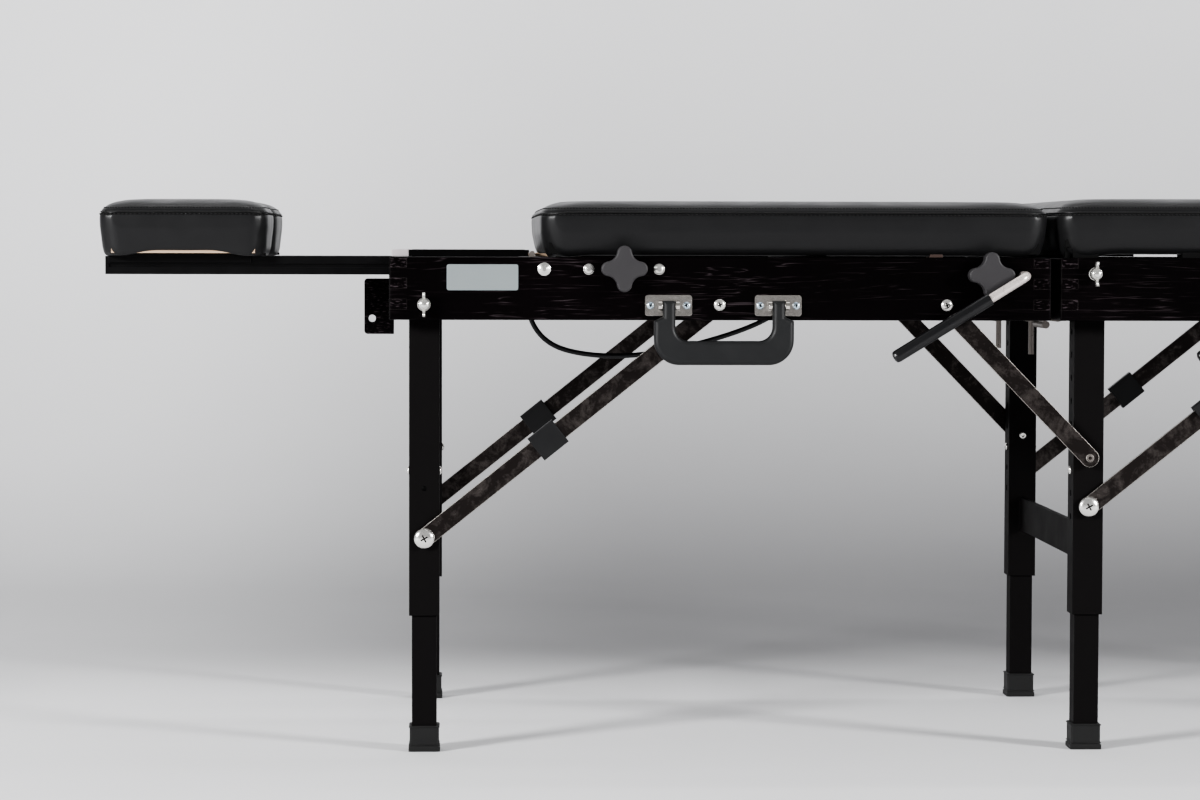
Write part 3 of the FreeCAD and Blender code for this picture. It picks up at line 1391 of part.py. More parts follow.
def handle_plate(name, middle_x):
    """A pressed plate on the rail with two ears and the pin that carries one arm of the handle."""
    x, z = middle_x, S["frame_bottom"] + S["handle_pivot_rise"]
    body = new_body(f"{name}_base")
    sketch = new_sketch(body, "XZ_Plane", f"{name}_outline")
    half, rise = S["handle_plate_length"] / 2, S["handle_plate_height"] / 2
    draw_rectangle(sketch, -half, -rise, half, rise)
    pad(body, sketch, S["handle_plate_thickness"])
    round_edges(body, S["handle_plate_radius"], Vector(0, 1, 0), name="Corners")
    put(body, x, -HALF_WIDTH, z)
    along = Vector(0, 1, 0)
    gap = S["handle_neck_width"] / 2 + SEAT * 2
    ears = []
    for side in (-1, 1):
        start = x + gap if side > 0 else x - gap - S["handle_ear_thickness"]
        tip = HALF_WIDTH + S["handle_standoff"]
        radius, thickness = S["handle_ear_radius"], S["handle_ear_thickness"]
        eye = rod(f"{name}_eye_{side + 1}", radius, thickness, start, -tip, z, along, 90.0)
        web = block(
            f"{name}_web_{side + 1}",
            S["handle_ear_thickness"],
            S["handle_standoff"],
            S["handle_ear_radius"] * 2,
            start,
            -tip,
            z - S["handle_ear_radius"],
        )
        ears += [eye, web]
    pin_length = (gap + S["handle_ear_thickness"]) * 2
    pin_start = x - gap - S["handle_ear_thickness"]
    pin_y = -(HALF_WIDTH + S["handle_standoff"])
    pin = rod(f"{name}_pin", S["handle_pin_radius"], pin_length, pin_start, pin_y, z, along, 90.0)
    return fused(name, [body, pin] + ears)


def make_handle():
    arm = S["handle_span"] / 2 - S["handle_arm_width"] + S["handle_neck_width"] / 2
    plates = [
        handle_plate("handle_head_plate", HANDLE_X - arm),
        handle_plate("handle_foot_plate", HANDLE_X + arm),
    ]
    return [group("handle_plates", plates), handle_grip()]


def make_controls():
    rail_side = S["headrest_rail_offset"] + S["headrest_rail_width"] / 2 + SEAT
    return [
        knob("headrest_knob", HEADREST_KNOB_X, HEADREST_KNOB_Z, rail_side),
        knob("thoracic_knob", THORACIC_KNOB_X, DROP_KNOB_Z, RAIL_INNER),
        knob("pelvic_knob", PELVIC_KNOB_X, DROP_KNOB_Z, RAIL_INNER),
    ]


# Headpiece


def headrest_rail():
    """A grooved extrusion with an end cap."""
    name = "headrest_rail"
    body = new_body(name)
    sketch = new_sketch(body, "YZ_Plane", f"{name}_section")
    half, height = S["headrest_rail_width"] / 2, S["headrest_rail_height"]
    low = height / 2 - S["rail_groove_height"] / 2
    high = height / 2 + S["rail_groove_height"] / 2
    groove = half - S["rail_groove_depth"]
    right = [(half, ZERO), (half, low), (groove, low), (groove, high), (half, high), (half, height)]
    left = [(-y, z) for y, z in reversed(right)]
    draw_outline(sketch, right + left)
    pad(body, sketch, SLIDE_RIGHT - SLIDE_LEFT)
    cap = new_sketch(body, "YZ_Plane", f"{name}_cap")
    draw_rectangle(cap, -half, ZERO, half, height)
    pad(body, cap, S["rail_cap"], name="Cap")
    return put(body, SLIDE_LEFT, -S["headrest_rail_offset"], SLIDE_BOTTOM)


def headrest_carriage():
    """Two channels that ride on the rails, joined by cross plates, with a stop tab on each."""
    top = CARRIAGE_TOP
    outer = S["headrest_rail_offset"] + S["headrest_rail_width"] / 2 + SEAT + S["carriage_wall"]
    width = S["headrest_rail_width"] + (SEAT + S["carriage_wall"]) * 2
    skirt_bottom = SLIDE_TOP - S["carriage_skirt"]
    left = CARRIAGE_LEFT
    runner = block("runner", S["carriage_length"], width, top - skirt_bottom, left, -outer, skirt_bottom)
    slot = block(
        "runner_slot",
        S["carriage_length"] + S["overrun"] * 2,
        S["headrest_rail_width"] + SEAT * 2,
        SLIDE_TOP - skirt_bottom + S["overrun"],
        left - S["overrun"],
        -(outer - S["carriage_wall"]),
        skirt_bottom - S["overrun"],
    )
    channel = cut("runner_channel", runner, slot)
    tab = block(
        "runner_tab",
        S["carriage_tab"] + S["overrun"],
        S["carriage_wall"] * 2,
        S["carriage_tab_height"],
        left + S["carriage_length"] - S["overrun"],
        -outer,
        top - S["carriage_tab_height"],
    )
    near = fused("near_runner", [channel, tab])
    plates = []
    for index, x in enumerate((left, left + S["carriage_length"] - S["carriage_plate_width"])):
        plates.append(
            block(
                f"carriage_plate_{index}",
                S["carriage_plate_width"],
                (outer - S["carriage_wall"]) * 2,
                S["carriage_tab_height"],
                x,
                -(outer - S["carriage_wall"]),
                top - S["carriage_tab_height"],
            )
        )
    return fused("headrest_carriage", [near, far_copy("far_runner", near)] + plates)


def headrest_board():
    """One plywood board under both cushions, open in the middle for the face."""
    name = "headrest_board"
    body = new_body(name)
    sketch = new_sketch(body, "XY_Plane", f"{name}_outline")
    half = S["headrest_width"] / 2 - S["headrest_board_inset"]
    slot = S["headrest_gap"] / 2 + S["headrest_board_inset"]
    length = S["headrest_length"] - S["headrest_board_end_inset"] * 2
    bridge = slot
    draw_outline(
        sketch,
        [
            (ZERO, -half),
            (length, -half),
            (length, -slot),
            (bridge, -slot),
            (bridge, slot),
            (length, slot),
            (length, half),
            (ZERO, half),
        ],
    )
    pad(body, sketch, S["headrest_board_thickness"])
    return put(body, HEADREST_LEFT + S["headrest_board_end_inset"], ZERO, CARRIAGE_TOP)


def rounded_ring(low_x, low_y, high_x, high_y, z, corner, draw_in):
    """A closed outline of four corner arcs and four slightly hollow sides."""
    half_turn = corner * (1 - math.sqrt(0.5))
    mid_x, mid_y = (low_x + high_x) / 2, (low_y + high_y) / 2
    sides = [
        ((low_x + corner, low_y), (mid_x, low_y + draw_in), (high_x - corner, low_y)),
        ((high_x, low_y + corner), (high_x - draw_in, mid_y), (high_x, high_y - corner)),
        ((high_x - corner, high_y), (mid_x, high_y - draw_in), (low_x + corner, high_y)),
        ((low_x, high_y - corner), (low_x + draw_in, mid_y), (low_x, low_y + corner)),
    ]
    corners = [
        (high_x - half_turn, low_y + half_turn),
        (high_x - half_turn, high_y - half_turn),
        (low_x + half_turn, high_y - half_turn),
        (low_x + half_turn, low_y + half_turn),
    ]
    edges = []
    for index, side in enumerate(sides):
        start, middle, end = (Vector(x, y, z) for x, y in side)
        edges.append(Part.Arc(start, middle, end).toShape())
        following = Vector(*sides[(index + 1) % 4][0], z)
        edges.append(Part.Arc(end, Vector(*corners[index], z), following).toShape())
    return Part.Wire(edges)


def cushion(name, low_x, low_y, high_x, high_y, bottom, top, recess=None):
    """A crowned cushion with drawn-in sides, lofted through rounded outlines."""
    height = top.value - bottom.value
    crown = height * CROWN_SHARE
    rings = []
    for height_share, inset_share in zip(CUSHION_HEIGHT_SHARES, CUSHION_INSET_SHARES):
        inset = crown * inset_share
        short_side = min(high_x.value - low_x.value, high_y.value - low_y.value) - inset * 2
        corner = min(height * CORNER_SHARE + inset * CORNER_SHARE, short_side * LARGEST_CORNER_SHARE)
        draw_in = height * DRAW_IN_SHARE
        rings.append(
            rounded_ring(
                low_x.value + inset,
                low_y.value + inset,
                high_x.value - inset,
                high_y.value - inset,
                height * height_share,
                corner,
                draw_in,
            )
        )
    shape = Part.makeLoft(rings, True, True)
    if recess is not None:
        shape = shape.cut(recess)
    piece = DOCUMENT.addObject("Part::Feature", name)
    piece.Shape = shape
    return put(piece, ZERO, ZERO, bottom)


def recess_box(low_x, low_y, high_x, high_y, height):
    """The room that a board takes in a cushion's underside, in the cushion's own coordinates."""
    corner = Vector(low_x.value - SEAT.value, low_y.value - SEAT.value, -S["overrun"].value)
    length = high_x.value - low_x.value + SEAT.value * 2
    width = high_y.value - low_y.value + SEAT.value * 2
    return Part.makeBox(length, width, height.value + S["overrun"].value, corner)


def make_headpiece():
    half, gap = S["headrest_width"] / 2, S["headrest_gap"] / 2
    right = HEADREST_LEFT + S["headrest_length"]
    bottom = CARRIAGE_TOP + S["cushion_wrap"]
    top = bottom + S["headrest_cushion_height"]
    board_left = HEADREST_LEFT + S["headrest_board_end_inset"]
    board_right = right - S["headrest_board_end_inset"]
    depth = S["headrest_board_thickness"] - S["cushion_wrap"] + SEAT
    outer = half - S["headrest_board_inset"]
    pieces = [both_sides("headrest_rails", [headrest_rail()]), headrest_carriage(), headrest_board()]
    for name, low, high, board_low, board_high in (
        ("headrest_near_cushion", -half, -gap, -outer, ZERO),
        ("headrest_far_cushion", gap, half, ZERO, outer),
    ):
        room = recess_box(board_left, board_low, board_right, board_high, depth)
        pieces.append(cushion(name, HEADREST_LEFT, low, right, high, bottom, top, room))
    return pieces


# Body sections


def hinge_tongue(name, hinge_x, left, lift):
    """A section's half of its hinge: a bored knuckle on a strap that ends under the board."""
    length = S["drop_hinge_tongue_width"] - SEAT
    start = -RAIL_INNER + S["drop_hinge_length"] + SEAT
    z = FRAME_TOP + lift
    along = Vector(1, 0, 0)
    knuckle = rod(f"{name}_barrel", S["drop_hinge_radius"], length, hinge_x, start, z, along, -90.0)
    reach = left + S["drop_hinge_tongue_width"] - hinge_x
    strap_height = S["drop_hinge_radius"]
    strap = block(f"{name}_strap", reach, length, strap_height, hinge_x, start, z - strap_height)
    bore_radius = S["drop_hinge_pin_radius"] + S["running_fit"]
    bore_length = length + S["overrun"] * 2
    bore = rod(f"{name}_bore", bore_radius, bore_length, hinge_x, start - S["overrun"], z, along, -90.0)
    return fused(f"{name}_tongue", [knuckle, strap]), bore


def section_board(name, left, right, lift, rests, hinge_x=None):
    """A plywood board with rest blocks glued under it; rests are (x, length) over the side rails' tops."""
    inset = S["board_inset"]
    half = PAD_HALF_WIDTH - inset
    bottom = FRAME_TOP + lift
    length = right - left - inset * 2
    board = block(f"{name}_plate", length, half * 2, S["board_thickness"], left + inset, -half, bottom)
    block_y = -half
    rest_height = lift - SEAT
    blocks = []
    for index, (x, rest_length) in enumerate(rests):
        near = block(
            f"{name}_rest_{index}",
            rest_length,
            S["rest_block_width"],
            rest_height,
            x,
            block_y,
            bottom - rest_height,
        )
        blocks += [near, far_copy(f"{name}_rest_{index}_far", near)]
    if hinge_x is None:
        return fused(name, [board] + blocks)
    room_width = half * 2 + S["overrun"] * 2
    room_half = S["drop_hinge_radius"] + SEAT
    room = block(
        f"{name}_hinge_room",
        room_half * 2,
        room_width,
        room_half + S["overrun"],
        hinge_x - room_half,
        -half - S["overrun"],
        bottom - S["overrun"],
    )
    tongue, bore = hinge_tongue(name, hinge_x, left + inset, lift)
    tongues = [tongue, far_copy(f"{name}_far_tongue", tongue)]
    opened = cut(f"{name}_opened", board, room)
    whole = fused(f"{name}_with_rests", [opened] + blocks + tongues)
    bores = group(f"{name}_bores", [bore, far_copy(f"{name}_far_bore", bore)])
    return cut(name, whole, bores)


def section_pad(name, left, right, lift):
    half = PAD_HALF_WIDTH
    inset = S["board_inset"]
    bottom = FRAME_TOP + lift
    room = recess_box(left + inset, -(half - inset), right - inset, half - inset, S["board_thickness"])
    return cushion(name, left, -half, right, half, bottom, bottom + S["pad_thickness"], room)


def make_sections():
    thoracic_lift, pelvic_lift = S["thoracic_lift"], S["pelvic_lift"]
    thoracic_ends = (THORACIC_LEFT, THORACIC_RIGHT)
    pelvic_ends = (PELVIC_LEFT, PELVIC_RIGHT)
    foot_right = TABLE_END_X
    rest = S["rest_block_length"]
    thoracic_rests = [(THORACIC_RIGHT - S["thoracic_rest_inset"], S["narrow_rest_length"])]
    pelvic_rests = [
        (PELVIC_LEFT + S["pelvic_rest_inset"], S["narrow_rest_length"] * 2),
        (PELVIC_LEFT + S["pelvic_second_rest_inset"], rest),
    ]
    foot_rests = [
        (FOOT_PAD_LEFT + S["board_inset"], rest),
        (foot_right - S["board_inset"] - rest, rest),
    ]
    return [
        section_board("thoracic_board", *thoracic_ends, thoracic_lift, thoracic_rests, THORACIC_HINGE_X),
        section_pad("thoracic_pad", *thoracic_ends, thoracic_lift),
        section_board("pelvic_board", *pelvic_ends, pelvic_lift, pelvic_rests, PELVIC_HINGE_X),
        section_pad("pelvic_pad", *pelvic_ends, pelvic_lift),
        section_board("foot_board", FOOT_PAD_LEFT, foot_right, pelvic_lift, foot_rests),
        section_pad("foot_pad", FOOT_PAD_LEFT, foot_right, pelvic_lift),
    ]


# Free cable under the head half


def cable_points():
    """Points of the cable's middle line in table coordinates; it hangs between the two cross rails."""
    points = []
    underside = (UPPER_PIVOT_Z - S["leg_tube"] / 2).value
    start = THORACIC_HINGE_X.value
    span = (S["second_cross_rail_start"] + S["cable_end_inset"]).value - start
    for span_share, sag_share in zip(CABLE_SPAN_SHARES, CABLE_SAG_SHARES):
        x = start + span * span_share
        y = S["cable_offset"].value + S["cable_drift"].value * span_share
        z = underside - S["cable_sag"].value * sag_share
        points.append(Vector(x, y, z))
    return points


def rounded_path(points):
    """Straight runs joined by tangent arcs as large as the runs allow; also returns the radii."""
    edges, radii = [], []
    start = points[0]
    for before, corner, after in zip(points, points[1:], points[2:]):
        incoming, outgoing = corner - before, after - corner
        half_turn = incoming.getAngle(outgoing) / 2
        trim = 0.45 * min(incoming.Length, outgoing.Length)
        radius = trim / math.tan(half_turn)
        radii.append(radius)
        first = corner - incoming.normalize() * trim
        last = corner + outgoing.normalize() * trim
        inward = (first + last) / 2 - corner
        inward.normalize()
        middle = corner + inward * (radius / math.cos(half_turn) - radius)
        edges.append(Part.LineSegment(start, first).toShape())
        edges.append(Part.Arc(first, middle, last).toShape())
        start = last
    edges.append(Part.LineSegment(start, points[-1]).toShape())
    return Part.Wire(edges), radii


def make_cable():
    """A limp cable whose two ends meet the undersides of the cross rails."""
    points = cable_points()
    path, radii = rounded_path(points)
    radius = S["cable_radius"].value
    heading = (points[1] - points[0]).normalize()
    profile = Part.Wire(Part.Circle(points[0], heading, radius).toShape())
    tube = path.makePipeShell([profile], True, False)
    expected = math.pi * radius**2 * path.Length
    print("cable length", round(path.Length, 1), "smallest radius", round(min(radii), 1))
    print("cable volume share", round(tube.Volume / expected, 4))
    piece = DOCUMENT.addObject("Part::Feature", "release_cable")
    piece.Shape = tube
    return put(piece, ZERO, ZERO, ZERO)


# Assembly


def check(piece):
    if "Invalid" in piece.State or "Error" in piece.State:
        raise ValueError(f"{piece.Label} is in state {piece.State}")
    if piece.Shape.isNull() or not piece.Shape.isValid():
        raise ValueError(f"{piece.Label} has no valid shape")


def main():
    pieces = make_frames() + [make_latch_tab()] + make_hinges() + make_hardware()
    pieces += make_legs() + make_braces() + make_levers() + make_controls()
    pieces += make_handle() + make_headpiece() + make_sections() + [make_cable()]
    DOCUMENT.recompute()
    for item in DOCUMENT.Objects:
        if "Invalid" in item.State or "Error" in item.State:
            raise ValueError(f"{item.Label} is in state {item.State}")
    labels = [piece.Label for piece in pieces]
    if len(set(labels)) != len(labels):
        raise ValueError("two sub-parts share a label")
    for piece in pieces:
        check(piece)
    os.makedirs("parts", exist_ok=True)
    for piece in pieces:
        piece.Shape.exportStep(f"parts/{piece.Label}.step")
    print(len(pieces), "sub-parts")


main()
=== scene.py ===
import math
import random

import bmesh
import bpy
import numpy
from mathutils import Matrix, Vector
from mathutils.bvhtree import BVHTree


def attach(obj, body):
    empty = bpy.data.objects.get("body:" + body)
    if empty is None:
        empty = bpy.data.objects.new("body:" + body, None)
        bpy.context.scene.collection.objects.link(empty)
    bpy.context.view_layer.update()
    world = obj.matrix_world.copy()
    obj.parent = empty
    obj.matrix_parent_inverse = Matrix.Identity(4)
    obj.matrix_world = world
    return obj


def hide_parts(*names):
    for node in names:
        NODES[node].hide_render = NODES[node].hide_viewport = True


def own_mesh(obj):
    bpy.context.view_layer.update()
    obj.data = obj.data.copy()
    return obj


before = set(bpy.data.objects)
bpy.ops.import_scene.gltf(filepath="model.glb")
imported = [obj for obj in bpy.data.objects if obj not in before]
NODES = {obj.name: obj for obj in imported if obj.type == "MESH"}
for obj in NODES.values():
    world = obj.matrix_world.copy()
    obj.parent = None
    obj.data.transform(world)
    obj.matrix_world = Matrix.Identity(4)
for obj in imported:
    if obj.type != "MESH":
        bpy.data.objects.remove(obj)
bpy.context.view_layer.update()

NEAR, FAR = Vector((0, -1, 0)), Vector((0, 1, 0))

# Table coordinates in millimetres: X from the head frame's end, Y from the middle plane, Z from the floor
ORIGIN_X, ORIGIN_Y = 561.0, -8.7
HALF_WIDTH = 269.0
LEG_OUTER = 238.5
LEG_HALF = 16.5
# Name, X, height of the fold bolt, and the way in which the brace leans, for each pair of legs
HEAD_LEG_X, MIDDLE_LEG_X, FOOT_LEG_X = 37.5, 764.5, 1406.5
FRAME_BOLT_Z, MIDDLE_BOLT_Z = 488.7, 522.9
LEGS = (
    ("head", HEAD_LEG_X, FRAME_BOLT_Z, 1),
    ("middle", MIDDLE_LEG_X, MIDDLE_BOLT_Z, 1),
    ("foot", FOOT_LEG_X, FRAME_BOLT_Z, -1),
)
# Brace pivots, from the fold bolt to the frame pivot and down to the leg pivot
BRACE_REACH, BRACE_DROP = 319.0, 255.0
STRUT_BOLT_Z = 321.6


def at(x, y, z):
    return Vector(((x - ORIGIN_X) / 1000, (y - ORIGIN_Y) / 1000, z / 1000))


# Material nodes

BEVEL_SAMPLES = 4
# How alike the rounded and the true normal are on a flat face and at an edge
FLAT_DOT, EDGE_DOT = 0.995, 0.80


class Shader:
    """A principled material and short ways to add the nodes that feed it."""

    def __init__(self, name, color, metallic, roughness):
        self.material = bpy.data.materials.new(name)
        self.material.use_nodes = True
        self.tree = self.material.node_tree
        self.bsdf = self.tree.nodes["Principled BSDF"]
        self.set(self.bsdf, "Base Color", (*color, 1.0))
        self.set(self.bsdf, "Metallic", metallic)
        self.set(self.bsdf, "Roughness", roughness)
        self.place = self.add("ShaderNodeTexCoord").outputs["Object"]
        self.normal = None

    def add(self, kind):
        return self.tree.nodes.new(kind)

    def set(self, node, socket, value):
        """Links a socket to an output, or gives it a plain value."""
        if hasattr(value, "is_output"):
            self.tree.links.new(value, node.inputs[socket])
        else:
            node.inputs[socket].default_value = value

    def scaled(self, x, y, z):
        mapping = self.add("ShaderNodeMapping")
        self.set(mapping, "Vector", self.place)
        mapping.inputs["Scale"].default_value = (x, y, z)
        return mapping.outputs["Vector"]

    def noise(self, scale, detail=4.0, rough=0.6, vector=None, distortion=0.0):
        node = self.add("ShaderNodeTexNoise")
        self.set(node, "Vector", vector if vector is not None else self.place)
        values = {"Scale": scale, "Detail": detail, "Roughness": rough, "Distortion": distortion}
        for socket, value in values.items():
            self.set(node, socket, value)
        return node.outputs["Fac"]

    def cells(self, scale, feature="F1"):
        node = self.add("ShaderNodeTexVoronoi")
        node.feature = feature
        self.set(node, "Vector", self.place)
        self.set(node, "Scale", scale)
        return node.outputs["Distance"]

    def ramp(self, value, low, high, start=0.0, end=1.0):
        node = self.add("ShaderNodeMapRange")
        values = {"Value": value, "From Min": low, "From Max": high, "To Min": start, "To Max": end}
        for socket, amount in values.items():
            self.set(node, socket, amount)
        return node.outputs["Result"]

    def smooth(self, value, low, high):
        result = self.ramp(value, low, high)
        result.node.interpolation_type = "SMOOTHSTEP"
        return result

    def math(self, operation, first, second=0.0):
        node = self.add("ShaderNodeMath")
        node.operation = operation
        self.set(node, 0, first)
        self.set(node, 1, second)
        return node.outputs["Value"]

    def times(self, first, second):
        return self.math("MULTIPLY", first, second)

    def plus(self, first, second):
        return self.math("ADD", first, second)

    def less(self, first, second):
        return self.math("SUBTRACT", first, second)

    def mix(self, amount, first, second):
        node = self.add("ShaderNodeMix")
        node.data_type = "RGBA"
        self.set(node, 0, amount)
        for index, value in ((6, first), (7, second)):
            self.set(node, index, value if hasattr(value, "is_output") else (*value, 1.0))
        return node.outputs[2]

    def soft_edges(self, radius):
        """Rounds the look of sharp edges and returns how near a point is to one."""
        bevel = self.add("ShaderNodeBevel")
        bevel.samples = BEVEL_SAMPLES
        self.set(bevel, "Radius", radius)
        self.normal = bevel.outputs["Normal"]
        geometry = self.add("ShaderNodeNewGeometry")
        dot = self.add("ShaderNodeVectorMath")
        dot.operation = "DOT_PRODUCT"
        self.tree.links.new(self.normal, dot.inputs[0])
        self.tree.links.new(geometry.outputs["Normal"], dot.inputs[1])
        self.set(self.bsdf, "Normal", self.normal)
        return self.ramp(dot.outputs["Value"], FLAT_DOT, EDGE_DOT)

    def bump(self, height, strength, distance):
        node = self.add("ShaderNodeBump")
        self.set(node, "Height", height)
        self.set(node, "Strength", strength)
        self.set(node, "Distance", distance)
        if self.normal is not None:
            self.set(node, "Normal", self.normal)
        self.normal = node.outputs["Normal"]
        self.set(self.bsdf, "Normal", self.normal)
        return self

    def color(self, value):
        self.set(self.bsdf, "Base Color", value)

    def rough(self, value):
        self.set(self.bsdf, "Roughness", value)

    def specular(self, level):
        self.set(self.bsdf, "Specular IOR Level", level)


def stained_ash(name, along):
    """Black stained open-pored ash whose grain runs along one axis."""
    s = Shader(name, (0.008, 0.006, 0.007), 0.0, 0.42)
    edge = s.soft_edges(0.0012)
    stretch = [30.0, 30.0, 30.0]
    stretch["xyz".index(along)] = 1.7
    figure = s.noise(1.0, 3.0, 0.55, s.scaled(*stretch), 1.4)
    rings = s.math("FRACT", s.times(figure, 9.0))
    line = s.ramp(s.math("ABSOLUTE", s.less(rings, 0.5)), 0.10, 0.0)
    fine = [700.0, 700.0, 700.0]
    fine["xyz".index(along)] = 26.0
    pores = s.ramp(s.noise(1.0, 2.0, 0.6, s.scaled(*fine)), 0.46, 0.62)
    patches = s.ramp(s.noise(7.0, 3.0), 0.40, 0.62)
    grain = s.times(s.times(line, pores), s.ramp(patches, 0.0, 1.0, 0.22, 1.0))
    if along == "y":
        grain = s.plus(grain, end_grain(s))
    body = s.mix(s.ramp(s.noise(5.0, 3.0), 0.3, 0.7), (0.0006, 0.0003, 0.0004), (0.0020, 0.0011, 0.0015))
    stained = s.mix(grain, body, (0.030, 0.023, 0.026))
    # Paler along every edge: partly rubbed stain, partly a painted highlight
    s.color(s.mix(s.times(edge, 0.16), stained, (0.10, 0.085, 0.085)))
    s.rough(s.ramp(grain, 0.0, 1.0, 0.36, 0.62))
    s.specular(0.05)
    s.bump(s.less(s.times(pores, line), s.noise(420.0, 2.0)), 0.25, 0.0003)
    return s.material


def end_grain(s):
    """Slanted saw strokes that show only on faces across the grain."""
    geometry = s.add("ShaderNodeNewGeometry")
    split = s.add("ShaderNodeSeparateXYZ")
    s.set(split, "Vector", geometry.outputs["Normal"])
    across = s.ramp(s.math("ABSOLUTE", split.outputs["Y"]), 0.90, 0.97)
    mapping = s.add("ShaderNodeMapping")
    s.set(mapping, "Vector", s.place)
    mapping.inputs["Rotation"].default_value = (0.0, -0.72, 0.0)
    mapping.inputs["Scale"].default_value = (160.0, 1.0, 620.0)
    strokes = s.ramp(s.noise(1.0, 1.0, 0.4, mapping.outputs["Vector"]), 0.58, 0.68)
    return s.times(across, strokes)


def vinyl():
    """Black upholstery vinyl with a fine cell grain and slow waves."""
    s = Shader("black_vinyl", (0.0088, 0.0088, 0.0092), 0.0, 0.36)
    s.specular(0.20)
    cells = s.cells(1500.0, "DISTANCE_TO_EDGE")
    wide = s.noise(26.0, 3.0, 0.5)
    s.rough(s.ramp(wide, 0.3, 0.7, 0.32, 0.40))
    s.bump(s.ramp(cells, 0.0, 0.35), 0.12, 0.00012)
    s.bump(wide, 0.10, 0.002)
    return s.material


def powder_coat():
    """Black powder coat on the tubes, a little paler at their edges."""
    black = (0.0052, 0.0047, 0.0048)
    s = Shader("black_powder_coat", black, 0.0, 0.5)
    edge = s.soft_edges(0.0016)
    s.color(s.mix(s.times(edge, 0.2), black, (0.03, 0.03, 0.03)))
    s.specular(0.03)
    s.rough(s.ramp(s.noise(14.0, 3.0), 0.3, 0.7, 0.46, 0.56))
    s.bump(s.noise(1400.0, 2.0), 0.10, 0.0001)
    return s.material


def mottled_nickel():
    """Dull plated flat bar with dark blotches painted in as reflection and edges painted bright as a
    highlight.
    """
    s = Shader("mottled_nickel", (0.10, 0.09, 0.08), 0.75, 0.3)
    edge = s.soft_edges(0.0011)
    blotch = s.noise(38.0, 6.0, 0.72, distortion=0.6)
    fine = s.noise(160.0, 5.0, 0.7)
    both = s.plus(s.times(blotch, 0.7), s.times(fine, 0.3))
    # Painted reflection: dark blotches in the colour, which also set the gloss
    painted_reflection = s.ramp(both, 0.48, 0.64)
    base = s.mix(painted_reflection, (0.010, 0.0072, 0.0066), (0.072, 0.062, 0.058))
    # Painted highlight: the colour turns pale near every edge
    s.color(s.mix(edge, base, (0.80, 0.77, 0.72)))
    s.rough(s.ramp(painted_reflection, 0.0, 1.0, 0.42, 0.22))
    s.bump(fine, 0.06, 0.0002)
    return s.material


def bright_metal(name, color, roughness, grain=0.0, metallic=0.8):
    """Plated or polished metal with slightly uneven polish."""
    s = Shader(name, color, metallic, roughness)
    s.soft_edges(0.0005)
    worn = s.noise(220.0, 4.0, 0.65)
    s.rough(s.ramp(worn, 0.3, 0.7, roughness * 0.75, roughness * 1.35))
    s.bump(worn, 0.04 + grain, 0.0001)
    return s.material


def moulded(name, color, roughness, grain_scale=1100.0, grain=0.16, radius=0.0012, gloss=0.28):
    """Plastic, rubber, thread or paint: a plain colour, paler at the edges, with a cell grain."""
    s = Shader(name, color, 0.0, roughness)
    s.specular(gloss)
    edge = s.soft_edges(radius)
    lighter = tuple(min(1.0, c * 1.9 + 0.012) for c in color)
    s.color(s.mix(s.times(edge, 0.5), color, lighter))
    s.rough(s.ramp(s.noise(40.0, 3.0), 0.3, 0.7, roughness * 0.88, roughness * 1.12))
    s.bump(s.cells(grain_scale), grain, 0.0001)
    return s.material


def plywood():
    """Pale plywood with level layers and long fibres."""
    s = Shader("plywood", (0.50, 0.37, 0.24), 0.0, 0.68)
    layers = s.add("ShaderNodeTexWave")
    layers.wave_type = "BANDS"
    layers.bands_direction = "Z"
    s.set(layers, "Vector", s.place)
    s.set(layers, "Scale", 95.0)
    s.set(layers, "Distortion", 0.7)
    fibre = s.noise(1.0, 4.0, 0.6, s.scaled(9.0, 160.0, 500.0))
    banded = s.times(layers.outputs["Fac"], 0.45)
    tone = s.plus(banded, s.times(fibre, 0.55))
    s.color(s.mix(tone, (0.24, 0.155, 0.095), (0.44, 0.33, 0.235)))
    s.bump(fibre, 0.15, 0.0003)
    return s.material


def satin_plate():
    """Brushed grey metal of the bare plate."""
    s = Shader("satin_plate", (0.20, 0.225, 0.230), 0.35, 0.45)
    fine = s.noise(1.0, 2.0, 0.6, s.scaled(60.0, 60.0, 1600.0))
    s.rough(s.ramp(fine, 0.3, 0.7, 0.40, 0.50))
    s.bump(fine, 0.03, 0.0001)
    return s.material


